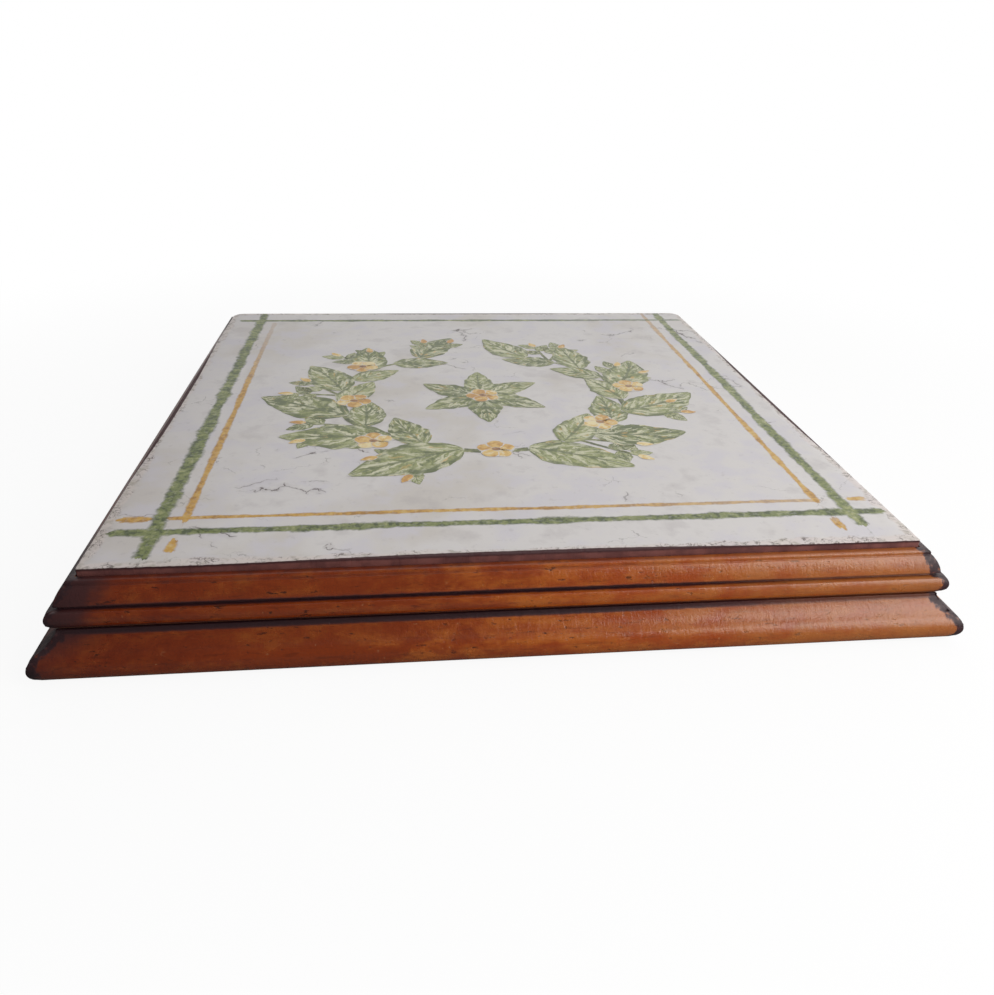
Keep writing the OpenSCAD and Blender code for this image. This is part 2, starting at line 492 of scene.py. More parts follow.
def arc_middle(start: Vector, end: Vector, from_start: float, from_end: float, side: int) -> Vector:
    """Finds the point that lies at given distances from two others.

    Args:
        start: The first point.
        end: The second point.
        from_start: The distance from the first point.
        from_end: The distance from the second point.
        side: 1 or -1, for one side or the other of the line between them.

    Returns:
        The point.
    """
    gap = (end - start).length
    unit = (end - start) / gap
    along = (from_start**2 - from_end**2 + gap**2) / (2 * gap)
    off = math.sqrt(from_start**2 - along**2)
    return start + along * unit + side * off * Vector((-unit.y, unit.x))


@dataclass
class Tier:
    """One tier of the frame: four mitred rails of one moulded section.

    A section's points are (reach, height): reach is outwards from the tile's side. The dents'
    widths and depths are in millimetres.
    """

    name: str
    slot: str
    half_side: float
    low: float
    high: float
    arc_steps: int = 12
    arris: float = 0.16 * MM
    mitre_arris: float = 0.08 * MM
    length_cuts: int = 300
    wobble: float = 0.06 * MM
    dent_count: int = 7
    worn_share: float = 0.16
    worn_from: float = 1.5 * MM
    worn_most: float = 0.7 * MM
    sharp_from: float = 40.0
    shown_from: float = 0.4 * MM
    foot_gap: float = 0.02 * MM
    dent_width: tuple[float, float] = (0.8, 2.2)
    dent_depth: tuple[float, float] = (0.06, 0.2)
    # Dark stain and painted shade in the hollows: each a middle, a width and a strength.
    stains: list[tuple[Vector, float, float]] = field(default_factory=list)

    def section(self) -> list[Vector]:
        """The section's outline. Each tier has its own."""
        raise NotImplementedError

    def draw_section(self) -> bpy.types.Object:
        """Draws the section as one face at the frame's left end, seen from the front.

        Returns:
            The object that holds the face.
        """
        outline = self.section()
        reach = max(point.x for point in outline)
        end = -(self.half_side + reach + 2 * MM)

        def place(point: Vector) -> Vector:
            """Stands a point of the section up at the rail's end."""
            return Vector((end, -self.half_side - point.x, point.y))

        deselect()
        bpy.ops.mesh.primitive_plane_add(size=MM, location=place(outline[0]))
        rail = bpy.context.object
        bpy.ops.object.transform_apply(location=True, rotation=True, scale=True)
        bpy.ops.object.mode_set(mode="EDIT")
        bpy.ops.mesh.select_mode(type="VERT")
        bpy.ops.mesh.select_all(action="SELECT")
        bpy.ops.mesh.merge(type="CENTER")
        for last, point in zip(outline, outline[1:]):
            step = place(point) - place(last)
            bpy.ops.mesh.extrude_region_move(TRANSFORM_OT_translate={"value": step})
        bpy.ops.mesh.select_all(action="SELECT")
        bpy.ops.mesh.edge_face_add()
        return rail

    def soften_section(self, rail: bpy.types.Object) -> None:
        """Rounds the section's sharp corners by a small arris."""
        bpy.ops.object.mode_set(mode="OBJECT")
        mesh = rail.data
        loop = [mesh.vertices[i].co.copy() for i in mesh.polygons[0].vertices]
        sharp = set()
        for before, point, after in zip(loop[-1:] + loop[:-1], loop, loop[1:] + loop[:1]):
            if (point - before).angle(after - point) > math.radians(self.sharp_from):
                sharp.add(tuple(point))
        pick(rail, "VERT", lambda points: tuple(points[0]) in sharp)
        bpy.ops.mesh.bevel(offset=self.arris, segments=3, affect="VERTICES", clamp_overlap=True)

    def run_rail(self, rail: bpy.types.Object) -> None:
        """Draws the section out to a rail, cuts it along its length and mitres its ends."""
        length = 2 * abs(rail.data.vertices[0].co.x)
        bpy.ops.mesh.select_all(action="SELECT")
        bpy.ops.mesh.extrude_region_move(TRANSFORM_OT_translate={"value": (length, 0, 0)})
        bpy.ops.mesh.select_all(action="SELECT")
        bpy.ops.mesh.normals_make_consistent(inside=False)
        pick(rail, "EDGE", lambda points: abs(points[0].x - points[1].x) > length / 2)
        bpy.ops.mesh.subdivide(number_cuts=self.length_cuts)
        for sign in (-1, 1):
            bpy.ops.mesh.select_all(action="SELECT")
            bpy.ops.mesh.bisect(plane_co=(0, 0, 0), plane_no=(sign, 1, 0), use_fill=True, clear_outer=True)
        on_mitre = 1e-6

        def mitre_edge(points: list[Vector]) -> bool:
            """Says whether an edge runs round a mitre's face."""
            return all(abs(abs(point.x) - abs(point.y)) < on_mitre for point in points)

        pick(rail, "EDGE", mitre_edge)
        bpy.ops.mesh.bevel(offset=self.mitre_arris, segments=3, affect="EDGES", clamp_overlap=True)
        bpy.ops.mesh.select_all(action="SELECT")
        bpy.ops.mesh.remove_doubles(threshold=2e-6)
        bpy.ops.object.mode_set(mode="OBJECT")

    def reach_of(self, point: Vector) -> float:
        """How far a point lies beyond the tile's side."""
        return max(abs(point.x), abs(point.y)) - self.half_side

    def wear_corner(self, point: Vector) -> Vector:
        """Rounds the mitred corner in plan, as wear does, more where it stands out further."""
        reach = self.reach_of(point)
        worn = min(self.worn_share * (reach - self.worn_from), self.worn_most)
        off_mitre = abs(abs(point.x) - abs(point.y))
        if off_mitre > worn:
            return point
        turn = math.radians(45) * (1 + off_mitre / worn)
        along = worn * (1 - math.cos(turn))
        inward = worn * (1 - math.sin(turn))
        corner = self.half_side + reach
        long_way, short_way = corner - along, corner - inward
        if abs(point.x) > abs(point.y):
            long_way, short_way = short_way, long_way
        point.x = math.copysign(long_way, point.x)
        point.y = math.copysign(short_way, point.y)
        return point

    def age(self, rail: bpy.types.Object, side: Side) -> None:
        """Gives a rail its uneven hand finish, and a few dents on what shows.

        Args:
            rail: The rail, in place.
            side: The rail's side.
        """
        chance = random.Random(f"{self.name} {side.label}")
        vertices = rail.data.vertices
        shown = [vertex.co.copy() for vertex in vertices if self.reach_of(vertex.co) > self.shown_from]
        dents = [
            (
                chance.choice(shown),
                chance.uniform(*self.dent_width) * MM,
                chance.uniform(*self.dent_depth) * MM,
            )
            for _ in range(self.dent_count)
        ]
        normals = [vertex.normal.copy() for vertex in vertices]
        for vertex, normal in zip(vertices, normals):
            point = vertex.co.copy()
            if self.reach_of(point) < self.shown_from or point.z < self.low + self.foot_gap:
                continue
            broad = noise.noise(point * 45)
            fine = noise.noise(point * 260)
            depth = self.wobble * (0.5 - 0.38 * broad - 0.12 * fine)
            for middle, width, deep in dents:
                depth += deep * (1 - smooth_step((point - middle).length, 0, width))
            vertex.co = point - normal * depth
        rail.data.update()

    def stain_at(self, point: Vector) -> float:
        """How dark the old stain and the painted shade in the hollows lie at a point, from 0 to 1."""
        place = Vector((self.reach_of(point), point.z))
        shares = [
            strength * (1 - smooth_step((place - middle).length, 0.35 * width, width))
            for middle, width, strength in self.stains
        ]
        return max(shares)

    def shown_at(self, point: Vector) -> float:
        """Whether a point lies on the lacquered outside, from 0 to 1."""
        outside = smooth_step(self.reach_of(point), 0, self.shown_from)
        return outside * smooth_step(point.z, self.low + 0.1 * MM, self.low + 0.7 * MM)

    def cut_holes(self, rail: bpy.types.Object) -> None:
        """Cuts what a tier's fasteners need. The upper tier's show nowhere, so it cuts none.

        Args:
            rail: The front rail.
        """

    def flatten_foot(self, rail: bpy.types.Object) -> None:
        """Shades the rail's flat underside flat."""
        for face in rail.data.polygons:
            if face.normal.z < -0.99 and face.center.z < self.low + self.foot_gap:
                face.use_smooth = False

    def build(self, finish: "Wood") -> None:
        """Makes the tier's four rails.

        Args:
            finish: The wood that they are dressed in.
        """
        pattern = self.draw_section()
        self.soften_section(pattern)
        self.run_rail(pattern)
        self.cut_holes(pattern)
        close_up(pattern)
        for side in Side:
            node = f"{self.name}_rail_{side.label}"
            rail = copy_piece(pattern, f"moulded_{node}", side.turn)
            self.age(rail, side)
            # The stain attribute holds the stain and the painted shade in the hollows.
            write_attribute(rail, "stain", self.stain_at)
            write_attribute(rail, "shown", self.shown_at)
            reshape(rail, self.wear_corner)
            smooth_shade(rail)
            self.flatten_foot(rail)
            dress(rail, finish.material(side, self.name))
            hand_over(rail, self.slot, node)
        bpy.data.objects.remove(pattern, do_unlink=True)


@dataclass
class UpperTier(Tier):
    """The upper tier: shoulder, lip, step, ovolo, quirk and bead."""

    shoulder_w: float = 10 * MM
    shoulder_h: float = 4 * MM
    tile_gap: float = 0.15 * MM
    lip_w: float = 2.0 * MM
    lip_r: float = 0.7 * MM
    lip_drop: float = 1.1 * MM
    step_w: float = 0.3 * MM
    ovolo_w: float = 2.25 * MM
    ovolo_h: float = 4.0 * MM
    ovolo_r: float = 7 * MM
    quirk_h: float = 0.7 * MM
    quirk_depth: float = 0.7 * MM
    bead_r: float = 2.8 * MM
    bead_out: float = 1.9 * MM
    bead_mid_share: float = 0.54

    def section(self) -> list[Vector]:
        """The upper tier's outline, from its inner foot, over the lip and down the front."""
        lip = self.tile_gap + self.lip_w
        ovolo_top = Vector((lip + self.step_w, self.high - self.lip_drop))
        ovolo_low = ovolo_top + Vector((self.ovolo_w, -self.ovolo_h))
        ovolo_mid = arc_middle(ovolo_top, ovolo_low, self.ovolo_r, self.ovolo_r, -1)
        neck = ovolo_low.x - self.quirk_depth
        quirk_low = ovolo_low.y - self.quirk_h
        bead_rise = (quirk_low - self.low) * self.bead_mid_share
        bead_mid = Vector((ovolo_low.x + self.bead_out - self.bead_r, self.low + bead_rise))

        def on_bead(height: float) -> Vector:
            """The bead's front at a height."""
            rise = height - bead_mid.y
            return Vector((bead_mid.x + math.sqrt(self.bead_r**2 - rise**2), height))

        lip_start = Vector((lip - self.lip_r, self.high))
        lip_end = Vector((lip, self.high - self.lip_r))
        # Dark stain in the quirk, on the step and on the lip by the tile, partly painted shade in the
        # quirk and on the step, and painted shade under the bead.
        self.stains = [
            (Vector((neck + 0.1 * MM, quirk_low + 0.3 * MM)), 1.35 * MM, 0.8),
            (Vector((on_bead(self.low).x - 0.2 * MM, self.low - 0.3 * MM)), 2.1 * MM, 1.0),
            (Vector((lip, ovolo_top.y)), 0.7 * MM, 0.32),
            (Vector((self.tile_gap, self.high)), 2.8 * MM, 0.42),
        ]
        return [
            Vector((-self.shoulder_w, self.low)),
            Vector((-self.shoulder_w, self.low + self.shoulder_h)),
            Vector((self.tile_gap, self.low + self.shoulder_h)),
            Vector((self.tile_gap, self.high)),
            lip_start,
            *turned_arc(Vector((lip_start.x, lip_end.y)), lip_start, lip_end, 5),
            Vector((lip, ovolo_top.y)),
            ovolo_top,
            *turned_arc(ovolo_mid, ovolo_top, ovolo_low, self.arc_steps),
            Vector((neck, ovolo_low.y)),
            Vector((neck, quirk_low)),
            on_bead(quirk_low),
            *turned_arc(bead_mid, on_bead(quirk_low), on_bead(self.low), self.arc_steps + 4),
        ]


@dataclass
class BaseTier(Tier):
    """The base tier: ledge, shadow gap, land, cove and toe."""

    ledge_reach: float = -16 * MM
    land_reach: float = 5.2 * MM
    shadow_h: float = 0.8 * MM
    shadow_depth: float = 1.2 * MM
    land_h: float = 0.5 * MM
    flare: float = 5.8 * MM
    toe_r: float = 3.7 * MM
    toe_mid_h: float = 3 * MM
    cove_r: float = 8.8 * MM
    brad_reach: float = 2.147 * MM
    brad_share: float = 0.3
    brad_hole_r: float = 1.05 * MM
    brad_hole_h: float = 1.8 * MM
    nail_set: float = 0.3 * MM
    cut_past: float = 0.05 * MM

    def cut_holes(self, rail: bpy.types.Object) -> None:
        """Cuts the holes over the brads' heads, and the slots under the mitre nails.

        Args:
            rail: The front rail.
        """
        drop = Matrix.Translation((0, 0, -self.nail_set - self.cut_past))
        cutter = copy_piece(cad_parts["base_mitre_nails"], "nail_slots", drop)
        edit_all(cutter)
        bpy.ops.mesh.remove_doubles(threshold=0.001 * MM)
        bpy.ops.object.mode_set(mode="OBJECT")
        cutters = [cutter]
        for share in (-1, 0, 1):
            place = (
                share * self.brad_share * 2 * self.half_side,
                -self.half_side - self.brad_reach,
                self.low + self.brad_hole_h / 2 - self.cut_past,
            )
            depth = self.brad_hole_h + 2 * self.cut_past
            bpy.ops.mesh.primitive_cylinder_add(
                vertices=24, radius=self.brad_hole_r, depth=depth, location=place
            )
            cutters.append(bpy.context.object)
        for cutter in cutters:
            activate(rail)
            cut = rail.modifiers.new("cut", "BOOLEAN")
            cut.operation = "DIFFERENCE"
            cut.object = cutter
            bpy.ops.object.modifier_apply(modifier=cut.name)
            bpy.data.objects.remove(cutter, do_unlink=True)

    def section(self) -> list[Vector]:
        """The base tier's outline, from its inner foot, over the ledge and down the front."""
        toe_mid = Vector((self.land_reach + self.flare - self.toe_r, self.low + self.toe_mid_h))
        land_top = self.high - self.shadow_h
        cove_top = Vector((self.land_reach, land_top - self.land_h))
        cove_mid = arc_middle(cove_top, toe_mid, self.cove_r, self.cove_r + self.toe_r, 1)
        cove_low = toe_mid + (cove_mid - toe_mid).normalized() * self.toe_r
        foot = Vector((toe_mid.x + math.sqrt(self.toe_r**2 - self.toe_mid_h**2), self.low))
        neck = self.land_reach - self.shadow_depth
        # Dark stain and painted shade in the shadow gap under the upper tier.
        self.stains = [(Vector((neck + 0.6 * MM, self.high - 0.5 * MM)), 2.6 * MM, 1.0)]
        return [
            Vector((self.ledge_reach, self.low)),
            Vector((self.ledge_reach, self.high)),
            Vector((neck, self.high)),
            Vector((neck, land_top)),
            Vector((self.land_reach, land_top)),
            cove_top,
            *turned_arc(cove_mid, cove_top, cove_low, self.arc_steps),
            *turned_arc(toe_mid, cove_low, foot, self.arc_steps + 6),
        ]


@dataclass(frozen=True)
class Wood:
    """Old reddish brown wood under a satin lacquer, nearly black where stain has collected, with painted
    shade towards the left end, by the mitres and in the hollows.
    """

    orange: Colour = srgb(178, 95, 30)
    russet: Colour = srgb(157, 67, 18)
    deep: Colour = srgb(98, 38, 10)
    pore: Colour = srgb(52, 20, 12)
    scratch: Colour = srgb(206, 150, 104)
    # Painted shade: the tint multiplied into the wood towards the left end.
    burnt: Colour = srgb(146, 92, 76)
    honey: Colour = srgb(163, 104, 52)
    # The two dark tones of the stain and of the painted shade.
    walnut: Colour = srgb(70, 32, 31)
    gathered: Colour = srgb(46, 18, 24)
    bare: Colour = srgb(150, 106, 70)
    figure: Cloud = Cloud(260, 4, 0.6, 0.5, (0.14, 1, 1))
    streaks: Cloud = Cloud(1100, 3, 0.6, 0.3, (0.14, 1, 1))
    patches: Cloud = Cloud(210, 5, 0.66, 0.3, (0.5, 1, 1))
    shades: Cloud = Cloud(90, 5, 0.66, 0.0, (0.5, 1, 1))
    pores: Cloud = Cloud(1050, 3, 0.6, 0.0, (0.35, 1, 1))
    chatter: Cloud = Cloud(520, 3, 0.6, 0.3, (1, 0.25, 0.25))
    crazing: Cloud = Cloud(1000, 3, 0.65, 0.6, (1, 0.6, 0.6))
    scratch_run: Cloud = Cloud(340, 1, 0.5, 0.0, (0.25, 1, 1))
    scratch_patches: Cloud = Cloud(260, 2, 0.5)
    chips: Cloud = Cloud(900, 1, 0.5)
    ragged: Cloud = Cloud(380, 4, 0.62)
    specks: Cloud = Cloud(900, 3, 0.6)
    drift: float = 120 * MM
    mitre_band: float = 2.5 * MM
    mitre_wander: float = 5.5 * MM
    side_reach: float = 3.2
    bump_depth: float = 0.05 * MM
    bump_share: float = 0.8
    gloss: float = 0.8

    def material(self, side: Side, tier: str) -> bpy.types.Material:
        """Makes the wood of one rail, with the grain along it.

        Args:
            side: The rail's side.
            tier: The rail's tier, which sets where in the plank it was cut.

        Returns:
            The material.
        """
        material, bench = new_bench(f"wood_{tier}_{side.label}")
        chance = random.Random(f"plank {tier} {side.label}")
        shift = (chance.uniform(0.4, 3.0), chance.uniform(0.4, 3.0), chance.uniform(0.4, 3.0))

        def grain(cloud: Cloud) -> Socket:
            """Adds noise that lies along the rail's grain."""
            return bench.noise(cloud, turn=side.grain_turn, shift=shift)

        streaks, patches, chatter = grain(self.streaks), grain(self.patches), grain(self.chatter)
        tone = bench.plus(
            bench.times(grain(self.figure), 0.3), bench.times(patches, 0.55), bench.times(chatter, 0.15)
        )
        across = bench.split(bench.place)[0]
        leftwards = bench.plus(across, bench.times(bench.centred(patches), self.drift))
        # Painted shade: the tone turns towards the darker russet towards the left end.
        tone = bench.minus(tone, bench.ease(leftwards, 25 * MM, -80 * MM, 0.0, 0.09))
        colour = bench.mix(bench.ease(tone, 0.38, 0.62), self.russet, self.orange)
        colour = bench.tinge(colour, self.deep, grain(self.shades), 0.46, 0.3, 0.2)
        colour = bench.tinge(colour, self.deep, streaks, 0.44, 0.3, 0.35)
        pores = bench.times(bench.ease(grain(self.pores), 0.61, 0.7), bench.ease(patches, 0.4, 0.56))
        colour = bench.mix(bench.times(pores, 0.8), colour, self.pore)
        scratched = self.scratches(bench, side)
        colour = bench.mix(bench.times(scratched, 0.4), colour, self.scratch)
        colour = bench.tinge(colour, self.honey, leftwards, 10 * MM, 110 * MM, 0.6)
        # Painted shade: the wood is multiplied darker towards the left end.
        painted_left_shade = bench.plus(
            bench.ease(leftwards, 20 * MM, -45 * MM, 0.0, 0.46),
            bench.ease(leftwards, -62 * MM, -112 * MM, 0.0, 0.3),
        )
        colour = bench.mix(painted_left_shade, colour, self.burnt, "MULTIPLY")
        # Dark stain by the mitres and in the hollows, with painted shade there and towards the left end.
        dark = self.gathered_share(bench, side)
        colour = bench.tinge(colour, self.walnut, dark, 0.02, 0.6)
        colour = bench.tinge(colour, self.gathered, dark, 0.5, 1.0)
        raw = bench.ease(bench.attribute("shown"), 0.6, 0.1)
        colour = bench.mix(bench.times(raw, 0.7), colour, self.bare)
        rough = bench.plus(
            bench.times(patches, 0.14), 0.19, bench.times(dark, 0.32), bench.times(raw, 0.4)
        )
        height = bench.plus(
            bench.minus(bench.times(streaks, 0.4), pores),
            bench.times(patches, 1.9),
            chatter,
            bench.times(grain(self.crazing), 2.3),
        )
        height = bench.minus(height, bench.times(scratched, 0.5))
        normal = bench.bump(height, self.bump_depth, self.bump_share)
        finish_surface(bench, colour, rough, normal, Specular_IOR_Level=self.gloss)
        return material

    def scratches(self, bench: Bench, side: Side) -> Socket:
        """Draws sparse light scratches and chips in the lacquer.

        Args:
            bench: The material's bench.
            side: The rail's side.

        Returns:
            The scratches' socket, 1 in a scratch.
        """
        run = bench.noise(self.scratch_run, turn=side.grain_turn, shift=(0.2, 0.1, 0.3))
        line = bench.ease(bench.size(bench.centred(run)), 0.007, 0.002)
        line = bench.times(line, bench.ease(bench.noise(self.scratch_patches), 0.62, 0.68, 0.0, 0.5))
        return bench.most(line, bench.ease(bench.noise(self.chips), 0.755, 0.79))

    def gathered_share(self, bench: Bench, side: Side) -> Socket:
        """Works out how much dark stain and painted shade lie at each point.

        Args:
            bench: The material's bench.
            side: The rail's side. On the left and right rails the mitres' stain and painted shade reach
                further.

        Returns:
            The share's socket.
        """
        across, along, up = bench.split(bench.place)
        ragged = bench.noise(self.ragged)
        # Dark stain in the hollows, partly painted shade under the bead and in the gap between the tiers.
        hollow = bench.ease(bench.plus(bench.attribute("stain"), bench.times(ragged, 0.4)), 0.3, 1.15)
        # Painted light: the dark in the hollows fades towards the right, where the light falls.
        hollow = bench.times(hollow, bench.ease(across, 10 * MM, 75 * MM, 1.0, 0.42))
        off_mitre = bench.size(bench.minus(bench.size(across), bench.size(along)))
        off_mitre = bench.plus(off_mitre, bench.times(bench.centred(ragged), self.mitre_wander))
        # On the side rails the mitres' stain and painted shade reach further.
        reach = self.mitre_band * (self.side_reach if side in (Side.LEFT, Side.RIGHT) else 1.0)
        band = bench.ease(off_mitre, 1.25 * reach, 0.6 * reach)
        band = bench.times(band, bench.ease(bench.noise(self.specks), 0.52, 0.7, 1.0, 0.35))
        # Painted shade near the mitres, deeper towards the left end and on the upper tier.
        shadow = bench.times(
            bench.ease(off_mitre, 2.6 * self.mitre_band + 3.4 * reach, reach),
            bench.ease(across, 40 * MM, -90 * MM, 0.15, 0.68),
            bench.ease(up, 6 * MM, 13 * MM, 0.35, 1.0),
        )
        return bench.times(bench.most(band, shadow, hollow), bench.attribute("shown"))


# The tile


@dataclass
class Tile:
    """The square tile, hand finished, with a softened edge around its face."""

    side: float
    low: float
    high: float
    front_corner_r: float = 0.4 * MM
    back_corner_r: float = 4.5 * MM
    edge_r: float = 0.3 * MM
    grid_step: float = 4 * MM
    sink: float = 0.13 * MM
    swell: float = 0.02 * MM
    soft_depth: float = 3 * MM
    uneven_reach: float = 1.5 * MM

    def face_height(self, x: float, y: float) -> float:
        """The height of the uneven glazed face at a place."""
        return self.high - self.sink + self.swell * noise.noise(Vector((x, y, 0)) * 22)

    def build(self, finish: "Glaze", border: "Border") -> None:
        """Makes the tile.

        Args:
            finish: The glaze that it is dressed in.
            border: The lines that are painted on it.
        """
        deselect()
        middle = (self.low + self.high - self.sink) / 2
        sizes = (self.side, self.side, self.high - self.sink - self.low)
        bpy.ops.mesh.primitive_cube_add(size=1, location=(0, 0, middle), scale=sizes)
        tile = bpy.context.object
        tile.name = "glazed_tile"
        bpy.ops.object.transform_apply(location=True, rotation=True, scale=True)
        for sign, radius in ((-1, self.front_corner_r), (1, self.back_corner_r)):
            pick(tile, "EDGE", lambda points: self.is_corner(points, sign))
            bpy.ops.mesh.bevel(offset=radius, segments=8, affect="EDGES")
        top = max(vertex.co.z for vertex in tile.data.vertices)
        pick(tile, "FACE", lambda points: min(point.z for point in points) > top - self.edge_r / 2)
        bpy.ops.mesh.region_to_loop()
        bpy.ops.mesh.bevel(offset=self.edge_r, segments=4, affect="EDGES")
        cuts = round(self.side / self.grid_step)
        for i in range(1, cuts):
            offset = i * self.grid_step - self.side / 2
            for normal in ((1, 0, 0), (0, 1, 0)):
                bpy.ops.mesh.select_all(action="SELECT")
                bpy.ops.mesh.bisect(plane_co=Vector(normal) * offset, plane_no=normal)
        bpy.ops.object.mode_set(mode="OBJECT")
        reshape(tile, self.hand_made)
        close_up(tile)
        smooth_shade(tile, 40)
        dress(tile, finish.material(border))
        hand_over(tile, "tile_glaze", "tile")

    @staticmethod
    def is_corner(points: list[Vector], sign: int) -> bool:
        """Says whether an edge is an upright corner at the front (-1) or the back (1)."""
        upright = (points[0] - points[1]).to_2d().length < 0.01 * MM
        return upright and points[0].y * sign > 0

    def hand_made(self, point: Vector) -> Vector:
        """Moves a point of the true tile to where the hand-made one has it."""
        reach = max(abs(point.x), abs(point.y))
        if point.z > self.high - self.soft_depth:
            share = smooth_step(point.z, self.high - self.soft_depth, self.high - self.sink)
            point.z += share * (self.face_height(point.x, point.y) - (self.high - self.sink))
        if reach > self.side / 2 - self.uneven_reach:
            uneven = 0.03 * MM * (1 + noise.noise(point * 90))
            uneven += 0.02 * MM * (1 + noise.noise(point * 400))
            point.xy = point.xy * (1 - uneven / reach)
        return point


@dataclass(frozen=True)
class Cracks:
    """A jagged net of cracks, longer from left to right, of which broken stretches show."""

    scale: float
    half_width: float
    patches: Cloud
    start: float

    def draw(self, bench: Bench) -> tuple[Socket, Socket]:
        """Draws the cracks.

        Args:
            bench: The material's bench.

        Returns:
            The cracks' socket, 1 in a crack, and the socket of the haze around them.
        """
        inputs = {"Vector": bench.place, "Scale": self.scale * 6, "Detail": 4.0}
        jag = bench.add("ShaderNodeTexNoise", inputs).outputs["Color"]
        inputs = {0: jag, 1: (0.5, 0.5, 0.5)}
        jag = bench.add("ShaderNodeVectorMath", inputs, operation="SUBTRACT").outputs[0]
        inputs = {0: jag, "Scale": 0.36 / self.scale}
        jag = bench.add("ShaderNodeVectorMath", inputs, operation="SCALE").outputs[0]
        bent = bench.add("ShaderNodeVectorMath", {0: bench.place, 1: jag}, operation="ADD").outputs[0]
        inputs = {"Vector": bench.mapped(bent, (0.62, 1.0, 0.0)), "Scale": self.scale, "Randomness": 1.0}
        net = bench.add("ShaderNodeTexVoronoi", inputs, feature="DISTANCE_TO_EDGE").outputs["Distance"]
        patches = bench.ease(bench.noise(self.patches), self.start, self.start + 0.06)
        line = bench.times(bench.ease(net, self.half_width, self.half_width * 0.35), patches)
        haze = bench.times(bench.ease(net, self.half_width * 7, 0.0), patches)
        return line, haze


